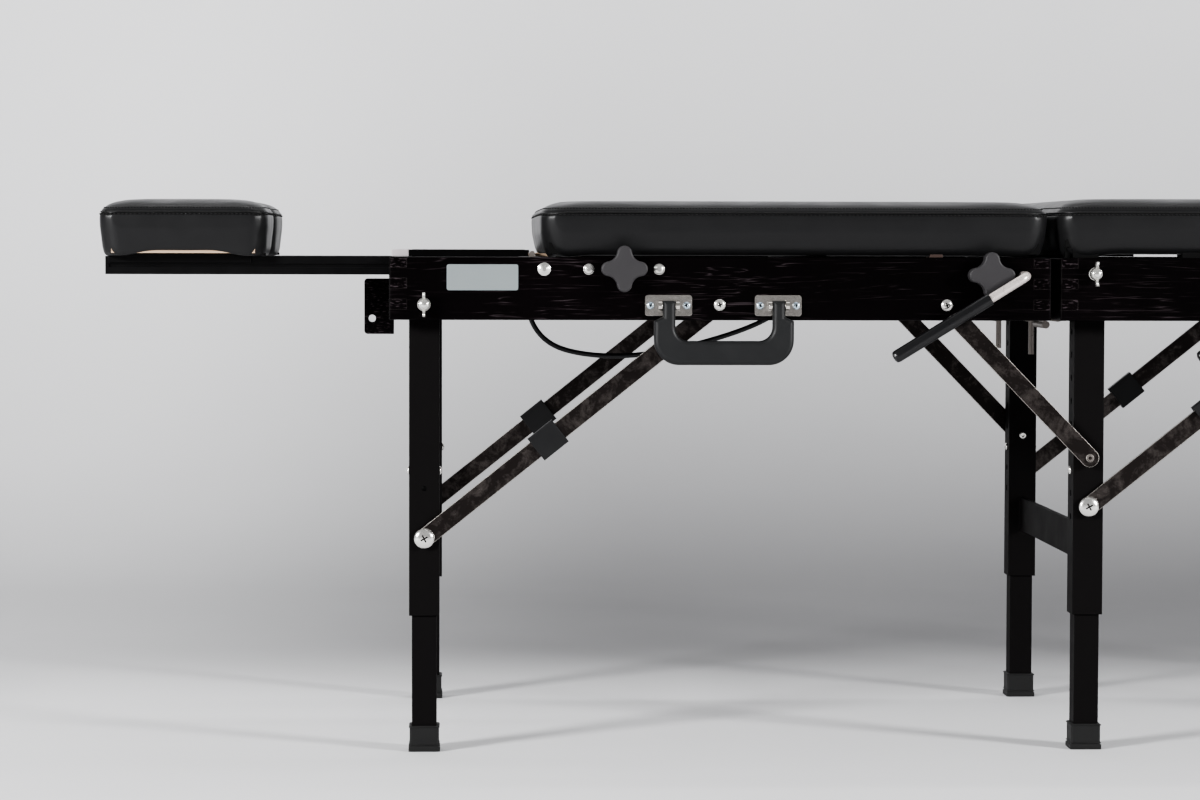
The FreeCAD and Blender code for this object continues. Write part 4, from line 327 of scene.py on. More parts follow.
def make_materials():
    return {
        "wood_x": stained_ash("stained_ash_lengthwise", "x"),
        "wood_y": stained_ash("stained_ash_crosswise", "y"),
        "vinyl": vinyl(),
        "powder": powder_coat(),
        "nickel": mottled_nickel(),
        "zinc": bright_metal("bright_zinc", (0.74, 0.73, 0.70), 0.20, metallic=0.88),
        "blue_zinc": bright_metal("blue_zinc", (0.56, 0.67, 0.76), 0.22),
        "steel": bright_metal("dull_steel", (0.20, 0.18, 0.165), 0.34, 0.05),
        "rod": bright_metal("satin_rod", (0.60, 0.545, 0.52), 0.30, 0.03, 0.55),
        "chrome": bright_metal("nickel_plate", (0.70, 0.665, 0.62), 0.13, metallic=0.96),
        "black_aluminium": moulded(
            "black_anodised", (0.0016, 0.0015, 0.0017), 0.36, 2600.0, 0.05, 0.0006, 0.15
        ),
        "sleeve": moulded("matte_sleeve", (0.0055, 0.0055, 0.0060), 0.48, 900.0, 0.10, gloss=0.25),
        "knob": moulded("knob_plastic", (0.0245, 0.0232, 0.0248), 0.52, 1300.0, 0.14),
        "handle": moulded(
            "handle_plastic", (0.0092, 0.0095, 0.0100), 0.46, 620.0, 0.40, 0.0016, 0.25
        ),
        "grip": moulded("dipped_vinyl", (0.005, 0.005, 0.0055), 0.30, 500.0, 0.01, gloss=0.4),
        "rubber": moulded("foot_rubber", (0.0045, 0.0045, 0.0045), 0.62, 1000.0, 0.12, 0.0014),
        "jacket": moulded("cable_jacket", (0.009, 0.009, 0.010), 0.36, 1500.0, 0.05),
        # Painted shade: near-black pieces where slots and holes would be in shadow
        "painted_shade_gap": moulded("painted_shade_recess", (0.001, 0.001, 0.001), 0.6, radius=0.0001, gloss=0.05),
        # Sewn edge: darker than the vinyl, a painted dark line of shade along the seam
        "welt": moulded("seam_welt_and_shade", (0.004, 0.004, 0.004), 0.40, 1500.0, 0.05),
        # Stitches: black thread, made darker than the vinyl as painted shade of the stitch holes
        "thread": moulded("stitch_thread_and_shade", (0.0012, 0.0012, 0.0012), 0.7, 4000.0, 0.1),
        "plate": satin_plate(),
        "plywood": plywood(),
        # Painted shade: a dim brown for the thoracic board's ply that sits in the dark
        "shaded_ply": moulded("ply_in_painted_shade", (0.035, 0.021, 0.017), 0.7, 300.0, 0.2),
        # Black paint of the boards, also used as painted shade on faces that stay in the dark
        "black_board_and_shade": moulded(
            "black_board_and_shade", (0.002, 0.002, 0.002), 0.7, 700.0, 0.1, radius=0.0002, gloss=0.1
        ),
        "keeper": moulded("pale_keeper", (0.40, 0.365, 0.375), 0.6, 900.0, 0.1),
    }


M = make_materials()


def paint(obj, material):
    obj.data.materials.clear()
    obj.data.materials.append(material)


def paint_where(obj, material, test):
    """Adds a material and gives it to the faces whose middle, in table X and Z, passes a test."""
    obj.data.materials.append(material)
    index = len(obj.data.materials) - 1
    for polygon in obj.data.polygons:
        place = obj.matrix_world @ polygon.center
        if test(place.x * 1000 + ORIGIN_X, place.z * 1000):
            polygon.material_index = index


def paint_nodes():
    """Gives every CAD piece that stays in sight its material."""
    groups = {
        "wood_x": "head_near_rail head_far_rail foot_near_rail foot_far_rail",
        "wood_y": "head_end_rail head_junction_rail head_cross_rails foot_end_rail "
        "foot_junction_rail latch_tab",
        "plywood": "thoracic_board headrest_board",
        "black_board_and_shade": "pelvic_board foot_board",
        "steel": "hinge_head_leaves hinge_foot_leaves",
        "zinc": "head_frame_hardware foot_frame_hardware",
        "nickel": "struts",
        "chrome": "handle_plates",
        "rod": "thoracic_lever pelvic_lever",
        "grip": "thoracic_lever_grip pelvic_lever_grip",
        "knob": "thoracic_knob headrest_knob pelvic_knob",
        "handle": "handle_grip",
        "black_aluminium": "headrest_rails headrest_carriage",
    }
    for leg, *_ in LEGS:
        groups["nickel"] += f" {leg}_brace_lower_bars {leg}_brace_upper_bars"
        groups[f"sleeve {leg}"] = f"{leg}_brace_sleeves"
        groups[f"powder {leg}"] = f"{leg}_leg_frame {leg}_near_inner_leg {leg}_far_inner_leg"
        groups[f"rubber {leg}"] = f"{leg}_near_foot {leg}_far_foot"
    for key, names in groups.items():
        for name in names.split():
            paint(NODES[name], M[key.split()[0]])
    # Faces that stay in the dark, painted dim brown or black as painted shade, metal parts among the
    # hardware, and the covers of the cross rails
    parts = (
        ("thoracic_board", "shaded_ply", lambda x, z: x > 400),
        ("thoracic_board", "black_board_and_shade", lambda x, z: z > 543.4 or x > 620),
        ("head_frame_hardware", "steel", lambda x, z: x > 690 and z < 500 or z > 539),
        ("foot_frame_hardware", "black_board_and_shade", lambda x, z: z > 535),
        ("head_cross_rails", "black_aluminium", lambda x, z: z > 540.1),
        ("head_cross_rails", "keeper", lambda x, z: z > 540.1 and x < 19.1),
    )
    for name, key, test in parts:
        paint_where(NODES[name], M[key], test)


# Mesh helpers


def new_object(name, bm, material, smooth=True):
    """Turns a bmesh into a scene object with one material."""
    mesh = bpy.data.meshes.new(name)
    bm.normal_update()
    bm.to_mesh(mesh)
    bm.free()
    obj = bpy.data.objects.new(name, mesh)
    bpy.context.scene.collection.objects.link(obj)
    mesh.materials.append(material)
    for polygon in mesh.polygons:
        polygon.use_smooth = smooth
    return obj


def ride_new(name, bm, key, body, smooth=True):
    """Makes an object that moves with a body and has a material slot of the frame."""
    obj = new_object(name, bm, M[key], smooth)
    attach(obj, body)


def ride_pair(name, heads, slots, body, key="zinc"):
    """Screw heads and the slots in them, coloured dark as painted shade."""
    ride_new(f"{name}_heads", heads, key, body)
    ride_new(f"{name}_slots", slots, "painted_shade_gap", body)


def facing(direction):
    """The turn that brings Z to a direction."""
    return direction.normalized().to_track_quat("Z", "Y").to_matrix()


def join_rings(bm, first, second):
    """Faces between two rings with the same number of points."""
    for index in range(len(first)):
        following = (index + 1) % len(first)
        bm.faces.new((first[index], first[following], second[following], second[index]))


def close_rings(bm, rings):
    """A closed skin over a row of rings."""
    for first, second in zip(rings, rings[1:]):
        join_rings(bm, first, second)
    bm.faces.new(list(reversed(rings[0])))
    bm.faces.new(rings[-1])


def add_turned(bm, profile, base, direction, segments=40):
    """Adds a turned solid: (radius, distance) pairs in millimetres along a direction from its base."""
    turn = facing(direction)
    rings = []
    for radius, distance in profile:
        if radius == 0:
            rings.append([bm.verts.new(base + turn @ Vector((0, 0, distance / 1000)))])
            continue
        ring = []
        for index in range(segments):
            angle = 2 * math.pi * index / segments
            point = Vector((math.cos(angle) * radius, math.sin(angle) * radius, distance)) / 1000
            ring.append(bm.verts.new(base + turn @ point))
        rings.append(ring)
    for first, second in zip(rings, rings[1:]):
        for index in range(segments):
            following = (index + 1) % segments
            if len(first) == 1:
                bm.faces.new((first[0], second[index], second[following]))
            elif len(second) == 1:
                bm.faces.new((first[index], second[0], first[following]))
            else:
                bm.faces.new((first[index], second[index], second[following], first[following]))


def add_rounded_block(bm, centre, size, radius, turn=Matrix.Identity(3), steps=3):
    """Adds a block with rounded edges; centre in metres, size and radius in millimetres."""
    verts = bmesh.ops.create_cube(bm, size=1.0)["verts"]
    for vert in verts:
        vert.co = Vector([share * length / 1000 for share, length in zip(vert.co, size)])
    edges = list({edge for vert in verts for edge in vert.link_edges})
    before = set(bm.verts)
    result = bmesh.ops.bevel(
        bm, geom=edges, offset=radius / 1000, segments=steps, profile=0.5, affect="EDGES"
    )
    kept = {v for v in verts if v.is_valid} | set(result["verts"]) | (set(bm.verts) - before)
    for vert in kept:
        vert.co = centre + turn @ vert.co


def add_dome_screw(bm, base, direction, radius, height, segments, recess=True):
    """A domed head with a rolled rim, from its seat outward, with a small hole at its middle."""
    profile = [(radius * 0.94, 0), (radius, height * 0.12), (radius, height * 0.30)]
    for share in (0.25, 0.5, 0.75, 0.92):
        angle = share * math.pi / 2
        profile.append((radius * math.cos(angle) * 0.98, height * (0.32 + 0.68 * math.sin(angle))))
    inner = radius * 0.20
    profile.append((inner, height))
    if recess:
        profile += [(inner * 0.9, height * 0.45), (0, height * 0.38)]
    else:
        profile.append((0, height))
    add_turned(bm, profile, base, direction, segments)


def both_sides(point):
    """A near-side point and its far copy, each with the direction that faces outward."""
    yield point, NEAR
    yield Vector((point.x, -2 * ORIGIN_Y / 1000 - point.y, point.z)), FAR


def add_cross(bm, base, direction, length, width, depth, turn_angle):
    """The crossed slots of a screw head, as a thin cross of given size on its crown, for the slots' painted
    shade.
    """
    turn = facing(direction)
    for quarter in (0, 1):
        spin = Matrix.Rotation(turn_angle + quarter * math.pi / 2, 3, "Z")
        add_rounded_block(bm, base, (length, width, depth), min(width, depth) * 0.3, turn @ spin, 2)


# Soft sections


def plan_of(low, high):
    """Middle and half sizes of a box seen from above."""
    return (
        (low[0] + high[0]) / 2,
        (low[1] + high[1]) / 2,
        (high[0] - low[0]) / 2,
        (high[1] - low[1]) / 2,
    )


def cushion_outline(half_length, half_width, corner, count):
    """Points of a rounded rectangle, evenly spaced along its edge."""
    corner = min(corner, half_length * 0.95, half_width * 0.95)
    straight = [2 * (half_length - corner), 2 * (half_width - corner)]
    arc = math.pi * corner / 2
    total = 2 * (straight[0] + straight[1]) + 4 * arc
    points = []
    for index in range(count):
        distance = total * index / count
        side = 0
        while True:
            run = straight[side % 2]
            if distance < run:
                local, kind = distance, "line"
                break
            distance -= run
            if distance < arc:
                local, kind = distance, "arc"
                break
            distance -= arc
            side += 1
        dx, dy = [(1, 0), (0, 1), (-1, 0), (0, -1)][side]
        nx, ny = dy, -dx
        half_run = straight[side % 2] / 2
        reach = half_width if side % 2 == 0 else half_length
        if kind == "line":
            along = local - half_run
            points.append((nx * reach + dx * along, ny * reach + dy * along))
            continue
        angle = local / corner
        cx = nx * (reach - corner) + dx * half_run
        cy = ny * (reach - corner) + dy * half_run
        outward, along = corner * math.cos(angle), corner * math.sin(angle)
        points.append((cx + nx * outward + dx * along, cy + ny * outward + dy * along))
    return points


# Height share and inset in millimetres, from the underside over the seam to the crown
BODY_SECTION = (
    (0.000, 13.0), (0.020, 9.6), (0.055, 7.2), (0.110, 5.2), (0.180, 3.8), (0.280, 2.6), (0.400, 1.6),
    (0.520, 0.8), (0.640, 0.3), (0.740, 0.0), (0.775, 0.4), (0.805, 1.2), (0.845, 2.4), (0.885, 4.4),
    (0.925, 8.0), (0.957, 13.5), (0.980, 22.0), (0.993, 36.0), (1.000, 60.0),
)
FACE_SECTION = (
    (0.000, 6.2), (0.020, 4.4), (0.060, 3.6), (0.140, 2.9), (0.240, 2.1), (0.360, 1.3), (0.500, 0.5),
    (0.640, 0.1), (0.740, 0.0), (0.775, 0.4), (0.805, 1.4), (0.845, 3.0), (0.885, 5.6), (0.925, 9.6),
    (0.960, 16.0), (0.985, 27.0), (1.000, 44.0),
)
SEAM_SHARE = 0.775
# Points round a cushion, growth of its corners with the inset, height share of the fullest side,
# and the millimetres by which the sides swell there and draw in elsewhere
RING_POINTS, CORNER_GAIN, FULL_SHARE, SIDE_SWELL, SIDE_DRAW = 260, 0.5, 0.42, 1.1, 0.7
# Cloth: held bands, least hold, pressure, cap on the swell, and last frame
SEAM_HOLD, BASE_HOLD, LEAST_HOLD, PRESSURE, SWELL_CAP, LAST_FRAME = 0.0035, 0.003, 0.02, 4.0, 0.0016, 20
# How the swell is averaged: rounds and the neighbours' share
SPREAD_ROUNDS, NEIGHBOUR_SHARE = 14, 0.6
# Rolled rim: its height and its fade over the underside, in millimetres
RIM_HEIGHT, RIM_FADE_FROM, RIM_FADE_TO = 18, 14, 26
# Seam groove: half width and depth in metres
SEAM_REACH, SEAM_DEPTH = 0.0028, 0.0012
# Rows of stitches: height over the seam in millimetres, then thread width, length and pitch in metres
STITCH_ROWS = ((5.2, 0.0011, 0.0020, 0.0034), (-1.3, 0.0019, 0.0029, 0.0046))
# Sides of a thread, and its length and thickness shares from end to end
THREAD_SIDES = 6
THREAD_SHARES = ((-0.5, 0.35), (-0.36, 0.9), (0.0, 1.0), (0.36, 0.9), (0.5, 0.35))
# Sewn edge: sides, radius, height over the seam, and the share by which thread stands off
WELT_SIDES, WELT_RADIUS, WELT_RISE, STAND_OFF = 8, 0.0011, 0.9, 0.25


def share_at(share, seam):
    """Moves a section's heights so that its seam lies at the given share."""
    if share <= SEAM_SHARE:
        return share * seam / SEAM_SHARE
    return 1 - (1 - share) * (1 - seam) / (1 - SEAM_SHARE)


def cushion_base(low, high, corner, section, seam):
    """A closed crowned form between two corners in table millimetres."""
    bm = bmesh.new()
    middle_x, middle_y, half_x, half_y = plan_of(low, high)
    height = high[2] - low[2]
    rings = []
    for share, inset in section:
        z = low[2] + height * share_at(share, seam)
        side = max(0.0, 1.0 - abs(share - FULL_SHARE) / FULL_SHARE)
        fullness = SIDE_SWELL * side - SIDE_DRAW
        edge_x, edge_y = half_x - inset, half_y - inset
        ring = []
        for x, y in cushion_outline(edge_x, edge_y, corner + inset * CORNER_GAIN, RING_POINTS):
            if abs(x) - edge_x > abs(y) - edge_y:
                x += math.copysign(fullness * (1 - (y / half_y) ** 2), x)
            else:
                y += math.copysign(fullness * (1 - (x / half_x) ** 2), y)
            ring.append(bm.verts.new(at(middle_x + x, middle_y + y, z)))
        rings.append(ring)
    close_rings(bm, rings)
    return bm


def remesh(obj, size):
    modifier = obj.modifiers.new("voxels", "REMESH")
    modifier.mode = "VOXEL"
    modifier.voxel_size = size
    modifier.use_smooth_shade = True
    apply_modifiers(obj)


def apply_modifiers(obj):
    graph = bpy.context.evaluated_depsgraph_get()
    graph.update()
    mesh = bpy.data.meshes.new_from_object(obj.evaluated_get(graph))
    obj.modifiers.clear()
    old = obj.data
    obj.data = mesh
    bpy.data.meshes.remove(old)


def puff(obj, seam_z, bottom_z):
    """Cloth simulation with the seam and the underside held, and a cap on the swell."""
    rest = [vert.co.copy() for vert in obj.data.vertices]
    group = obj.vertex_groups.new(name="held")
    for vert in obj.data.vertices:
        near_seam = 1.0 - min(1.0, abs(vert.co.z - seam_z) / SEAM_HOLD)
        held = 1.0 if vert.co.z < bottom_z + BASE_HOLD else near_seam
        if held > LEAST_HOLD:
            group.add([vert.index], held, "REPLACE")
    cloth = obj.modifiers.new("cloth", "CLOTH")
    settings = cloth.settings
    settings.quality = 4
    settings.mass = 0.3
    settings.tension_stiffness = 25
    settings.compression_stiffness = 25
    settings.shear_stiffness = 12
    settings.bending_stiffness = 0.6
    settings.vertex_group_mass = "held"
    settings.pin_stiffness = 2.0
    settings.use_pressure = True
    settings.uniform_pressure_force = PRESSURE
    settings.shrink_min = -0.012
    settings.effector_weights.gravity = 0.0
    cloth.collision_settings.use_collision = False
    cloth.point_cache.frame_start = 1
    cloth.point_cache.frame_end = LAST_FRAME
    scene = bpy.context.scene
    for number in range(1, LAST_FRAME + 1):
        scene.frame_set(number)
    graph = bpy.context.evaluated_depsgraph_get()
    moved = [vert.co.copy() for vert in obj.evaluated_get(graph).data.vertices]
    obj.modifiers.clear()
    obj.vertex_groups.clear()
    normals = [vert.normal.copy() for vert in obj.data.vertices]
    swell = [(end - start).dot(n) for start, end, n in zip(rest, moved, normals)]
    swell = numpy.array([min(SWELL_CAP, max(0.0, amount)) for amount in swell])
    swell = spread_evenly(obj.data, swell)
    for vert, start, normal, amount in zip(obj.data.vertices, rest, normals, swell):
        vert.co = start + normal * float(amount)
    scene.frame_set(1)


def spread_evenly(mesh, values):
    """Averages each vertex's value with its neighbours', so that the taut cover has no creases."""
    pairs = numpy.empty(len(mesh.edges) * 2, dtype=numpy.int64)
    mesh.edges.foreach_get("vertices", pairs)
    first, second = pairs[0::2], pairs[1::2]
    degree = numpy.bincount(pairs, minlength=len(values)).astype(float)
    count = len(values)
    for _ in range(SPREAD_ROUNDS):
        total = numpy.bincount(first, values[second], count)
        total = total + numpy.bincount(second, values[first], count)
        values = values * (1 - NEIGHBOUR_SHARE) + total / degree * NEIGHBOUR_SHARE
    return values


def subdivide(obj):
    modifier = obj.modifiers.new("subdivision", "SUBSURF")
    modifier.levels = 1
    modifier.render_levels = 1
    apply_modifiers(obj)


def squeeze_into(obj, low, high):
    """Keeps a cushion inside the space of its solid."""
    a, b = at(*low), at(*high)
    for vert in obj.data.vertices:
        for axis in range(3):
            vert.co[axis] = min(max(vert.co[axis], a[axis]), b[axis])


def smooth_step(value, low, high):
    share = min(1.0, max(0.0, (value - low) / (high - low)))
    return share * share * (3 - 2 * share)


def roll_rim(obj, low, high, ends, middle, reach):
    """Draws the rolled lower rim down, by one depth near the ends and another between them."""
    middle_x, middle_y, half_x, half_y = plan_of(low, high)
    for vert in obj.data.vertices:
        x = vert.co.x * 1000 + ORIGIN_X - middle_x
        y = vert.co.y * 1000 + ORIGIN_Y - middle_y
        above = vert.co.z * 1000 - low[2]
        if above > RIM_HEIGHT:
            continue
        from_end, from_side = half_x - abs(x), half_y - abs(y)
        rim = 1 - smooth_step(min(from_end, from_side), RIM_FADE_FROM, RIM_FADE_TO)
        depth = middle + (ends - middle) * (1 - smooth_step(from_end, reach * 0.3, reach))
        vert.co.z -= depth / 1000 * rim * (1 - smooth_step(above, 0, RIM_HEIGHT))


def carve_seam(obj, seam_z):
    """Draws the surface in along a level seam, most at the seam itself."""
    obj.data.update()
    normals = [vert.normal.copy() for vert in obj.data.vertices]
    for vert, normal in zip(obj.data.vertices, normals):
        near = abs(vert.co.z - seam_z) / SEAM_REACH
        if near < 1.0 and abs(normal.z) < 0.97:
            vert.co -= normal * SEAM_DEPTH * (1 - near) ** 2


def stitch_row(cushion, path, pitch, length, width):
    """Short thread pieces along a closed path that is pulled onto the cushion."""
    tree = BVHTree.FromObject(cushion, bpy.context.evaluated_depsgraph_get())
    bm = bmesh.new()
    total = 0.0
    segments = []
    for start, end in zip(path, path[1:] + path[:1]):
        run = (end - start).length
        segments.append((total, run, start, end))
        total += run
    count = int(total / pitch)
    cursor = 0
    for index in range(count):
        distance = total * index / count
        while distance > segments[cursor][0] + segments[cursor][1]:
            cursor += 1
        begun, run, start, end = segments[cursor]
        point = start.lerp(end, (distance - begun) / run if run else 0.0)
        found, normal, _, _ = tree.find_nearest(point)
        along = (end - start).normalized()
        along = (along - normal * along.dot(normal)).normalized()
        across = normal.cross(along)
        turn = Matrix((along, across, normal)).transposed()
        add_stitch(bm, found + normal * width * STAND_OFF, turn, length, width)
    return bm


def add_stitch(bm, centre, turn, length, width):
    """One thread: a short spindle."""
    rings = []
    for share, thick in THREAD_SHARES:
        ring = []
        for side in range(THREAD_SIDES):
            angle = 2 * math.pi * side / THREAD_SIDES
            radius = width * thick / 2
            local = Vector((share * length, math.cos(angle) * radius, math.sin(angle) * radius))
            ring.append(bm.verts.new(centre + turn @ local))
        rings.append(ring)
    close_rings(bm, rings)


def level_path(low, high, z, inset, corner):
    """Points round a cushion at one height, a little inside its outline."""
    middle_x, middle_y, half_x, half_y = plan_of(low, high)
    outline = cushion_outline(half_x - inset, half_y - inset, corner, PATH_POINTS)
    return [at(middle_x + x, middle_y + y, z) for x, y in outline]


def make_cushion(name, node, body, low, high, seam, kind, rim, fill):
    """One upholstered section with its top seam, the sewn edge on it and two rows of stitches."""
    section, corner, voxel = KINDS[kind]
    start = (low[0] + MARGIN, low[1] + MARGIN, low[2])
    end = (high[0] - MARGIN, high[1] - MARGIN, high[2] - MARGIN)
    seam_share = (seam - low[2]) / (high[2] - low[2])
    obj = new_object(name, cushion_base(start, end, corner, section, seam_share), M["vinyl"])
    remesh(obj, voxel)
    puff(obj, seam / 1000, low[2] / 1000)
    subdivide(obj)
    carve_seam(obj, seam / 1000)
    squeeze_into(
        obj,
        (low[0] - OVERSIZE, low[1] - OVERSIZE, low[2]),
        (high[0] + OVERSIZE, high[1] + OVERSIZE, high[2] + CROWN_OVERSIZE),
    )
    roll_rim(obj, low, high, *rim)
    paint(obj, M["vinyl"])
    for polygon in obj.data.polygons:
        polygon.use_smooth = True
    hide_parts(node)
    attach(obj, body)
    for index, (offset, width, length, pitch) in enumerate(STITCH_ROWS):
        inset = PATH_INSET + max(0.0, offset) * CROWN_SLOPE
        path = level_path(low, high, seam + offset, inset, corner)
        row = stitch_row(obj, path, pitch, length, width)
        ride_new(f"{name}_stitches_{index}", row, "thread", body)
    welt = welt_tube(obj, level_path(low, high, seam + WELT_RISE, PATH_INSET, corner))
    ride_new(f"{name}_welt", welt, "welt", body)


def welt_tube(cushion, path):
    """A thin sewn edge that follows the seam all round."""
    tree = BVHTree.FromObject(cushion, bpy.context.evaluated_depsgraph_get())
    places, normals = [], []
    for point in path:
        found, normal, _, _ = tree.find_nearest(point)
        places.append(found + normal * WELT_RADIUS * STAND_OFF)
        normals.append(normal)
    bm = bmesh.new()
    rings = []
    for index, (place, normal) in enumerate(zip(places, normals)):
        along = (places[(index + 1) % len(places)] - places[index - 1]).normalized()
        outward = (normal - along * normal.dot(along)).normalized()
        upward = along.cross(outward)
        ring = []
        for side in range(WELT_SIDES):
            angle = 2 * math.pi * side / WELT_SIDES
            spoke = outward * math.cos(angle) + upward * math.sin(angle)
            ring.append(bm.verts.new(place + spoke * WELT_RADIUS))
        rings.append(ring)
    for first, second in zip(rings, rings[1:] + rings[:1]):
        join_rings(bm, first, second)
    bmesh.ops.recalc_face_normals(bm, faces=bm.faces)
    return bm


# Section, plan corner radius in millimetres and voxel size in metres of the two kinds of cushion
KINDS = {"body": (BODY_SECTION, 21.0, 0.0045), "face": (FACE_SECTION, 18.0, 0.0040)}
# How far the base form stays inside its solid and the finished one may stand out
MARGIN, OVERSIZE, CROWN_OVERSIZE = 0.8, 1, 1.5
# Sewn paths: points, inset, and more inset for each millimetre over the seam
PATH_POINTS, PATH_INSET, CROWN_SLOPE = 240, 1.0, 0.9
BODY_Y, FACE_INNER_Y, FACE_OUTER_Y = 263, 23, 170
FACE_LOW_X, FACE_HIGH_X, FACE_LOW_Z, FACE_HIGH_Z = -322.5, -135.5, 547.2, 602.6
# Name, node, body, low and high corner, seam height, kind, rim (ends, middle, reach) and fill
CUSHIONS = (
    (
        "thoracic_cushion", "thoracic_pad", "thoracic_section",
        (162.5, -BODY_Y, 543.6), (717, BODY_Y, 600.6), 587.0, "body", (4.4, 2.3, 60), 0.85,
    ),
    (
        "pelvic_cushion", "pelvic_pad", "pelvic_section",
        (725.5, -BODY_Y, 548.4), (1046.5, BODY_Y, 604.4), 588.4, "body", (8.8, 4.6, 70), 0.85,
    ),
    (
        "foot_cushion", "foot_pad", "foot_half",
        (1054.5, -BODY_Y, 548.4), (1444, BODY_Y, 604.4), 588.4, "body", (8.8, 4.6, 70), 0.85,
    ),
    (
        "near_face_cushion", "headrest_near_cushion", "headpiece",
        (FACE_LOW_X, -FACE_OUTER_Y, FACE_LOW_Z), (FACE_HIGH_X, -FACE_INNER_Y, FACE_HIGH_Z),
        587.6, "face", (7.4, 1.6, 66), 0.8,
    ),
    (
        "far_face_cushion", "headrest_far_cushion", "headpiece",
        (FACE_LOW_X, FACE_INNER_Y, FACE_LOW_Z), (FACE_HIGH_X, FACE_OUTER_Y, FACE_HIGH_Z),
        587.6, "face", (7.4, 1.6, 66), 0.8,
    ),
)


# Free cable

# The route of the CAD cable: start, span, offset across, drift across, height of the ends and sag
CABLE_START, CABLE_SPAN, CABLE_OFFSET, CABLE_DRIFT = 154.5, 307.5, 60.0, 12.0
CABLE_TOP, CABLE_SAG, CABLE_DIAMETER = 506.4, 84.4, 0.006
CABLE_SPAN_SHARES = (0.0, 0.0, 0.024, 0.096, 0.22, 0.376, 0.532, 0.675, 0.818, 0.928, 1.0, 1.0)
CABLE_SAG_SHARES = (0.0, 0.265, 0.597, 0.858, 0.976, 1.0, 0.929, 0.805, 0.645, 0.47, 0.265, 0.0)


def route_curve(name, points, radius):
    """A smooth curve that the points steer, with a round section if it has a radius."""
    curve = bpy.data.curves.new(name, "CURVE")
    curve.dimensions = "3D"
    curve.resolution_u = 12
    spline = curve.splines.new("NURBS")
    spline.points.add(len(points) - 1)
    for point, place in zip(spline.points, points):
        point.co = (*place, 1.0)
    spline.order_u = 3
    spline.use_endpoint_u = True
    curve.bevel_depth = radius
    curve.bevel_resolution = 6
    obj = bpy.data.objects.new(name, curve)
    bpy.context.scene.collection.objects.link(obj)
    return obj


def mesh_of(obj):
    """The finished mesh of a curve object."""
    graph = bpy.context.evaluated_depsgraph_get()
    graph.update()
    return bpy.data.meshes.new_from_object(obj.evaluated_get(graph))


def make_cable():
    """The cable that hangs free under the head half, as a tube along its route."""
    points = []
    for along, down in zip(CABLE_SPAN_SHARES, CABLE_SAG_SHARES):
        across = CABLE_OFFSET + CABLE_DRIFT * along
        points.append(at(CABLE_START + CABLE_SPAN * along, across, CABLE_TOP - CABLE_SAG * down))
    line = route_curve("cable_line", points, 0.0)
    path = [tuple(vert.co) for vert in mesh_of(line).vertices]
    tube = route_curve("cable_tube", points, CABLE_DIAMETER / 2)
    mesh = mesh_of(tube)
    mesh.name = "free_cable"
    cable = bpy.data.objects.new("free_cable", mesh)
    bpy.context.scene.collection.objects.link(cable)
    paint(cable, M["jacket"])
    for polygon in mesh.polygons:
        polygon.use_smooth = True
    for helper in (line, tube):
        bpy.data.objects.remove(helper)
    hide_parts("release_cable")
    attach(cable, "head_half")
    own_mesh(cable)


# Fasteners and small hardware


PLATE_X, PLATE_Z, PLATE_HALF_X, PLATE_HALF_Z, PLATE_CORNER, PLATE_POINTS = 100.5, 518, 38.5, 14.0, 2.2, 160
# Depth and inset of the plate's rings, from the rail outward
PLATE_RINGS = ((0.0, 0.0), (0.5, 0.0), (0.65, 0.15))


def make_plate():
    """The bare metal plate on the near rail."""
    bm = bmesh.new()
    outline = cushion_outline(PLATE_HALF_X, PLATE_HALF_Z, PLATE_CORNER, PLATE_POINTS)
    rings = []
    for depth, inset in PLATE_RINGS:
        share_x, share_z = 1 - inset / PLATE_HALF_X, 1 - inset / PLATE_HALF_Z
        rings.append([
            bm.verts.new(at(PLATE_X + x * share_x, -HALF_WIDTH - depth, PLATE_Z + z * share_z))
            for x, z in outline
        ])
    close_rings(bm, rings)
    bmesh.ops.recalc_face_normals(bm, faces=bm.faces)
    ride_new("bare_plate", bm, "plate", "head_half", smooth=False)


# Profiles of turned pieces: (radius, distance from the seat) pairs in millimetres
LEG_SCREW = ((10.9, -2.6), (11.0, -1.2), (10.6, -0.2), (9.0, 1.1), (6.0, 2.0), (3.0, 2.3), (0, 2.35))
HOLE_RIM = ((3.6, -0.3), (3.5, 0.12), (3.0, 0.12), (2.9, -0.3))
HOLE_FLOOR = ((3.0, -0.2), (2.9, 0.06), (0, 0.06))
BOLT_END = ((4.4, -0.4), (4.4, 1.0), (3.8, 2.0), (2.2, 2.4), (1.5, 1.9), (0, 1.8))
STRUT_RIVET = ((4.6, 0), (4.6, 0.5), (3.9, 1.3), (2.4, 1.5), (1.6, 1.3), (0, 1.2))
KNEE_RIVET = ((3.6, 0), (3.5, 0.12), (0, 0.18))
HEX_RECESS = ((2.3, 1.9), (2.3, 2.42), (0, 2.42))
WING_HUB = (
    (6.6, 0), (6.6, 2.5), (6.0, 5.5), (5.3, 8.6), (4.3, 9.6), (3.9, 9.6), (3.9, 12.5), (3.2, 13.1), (0, 13.1),
)
# Outline of one ear of a wing nut: distance from the axis and height, and half its thickness
WING_EAR = (
    (3.0, 0.5), (6.5, 0.8), (9.5, 3.0), (12.2, 7.0), (13.4, 11.5), (12.8, 14.8), (10.8, 15.8), (8.8, 14.2),
    (7.0, 10.0), (3.0, 7.5),
)
WING_HALF_THICK = 1.7
# Outer faces of the bars, from the middle plane
LOWER_BAR_FACE, UPPER_BAR_FACE = 245.3, 248.15
# Heights of the lock pins and of the open holes below them
PIN_Z, OPEN_HOLE_Z = 306.8, 288
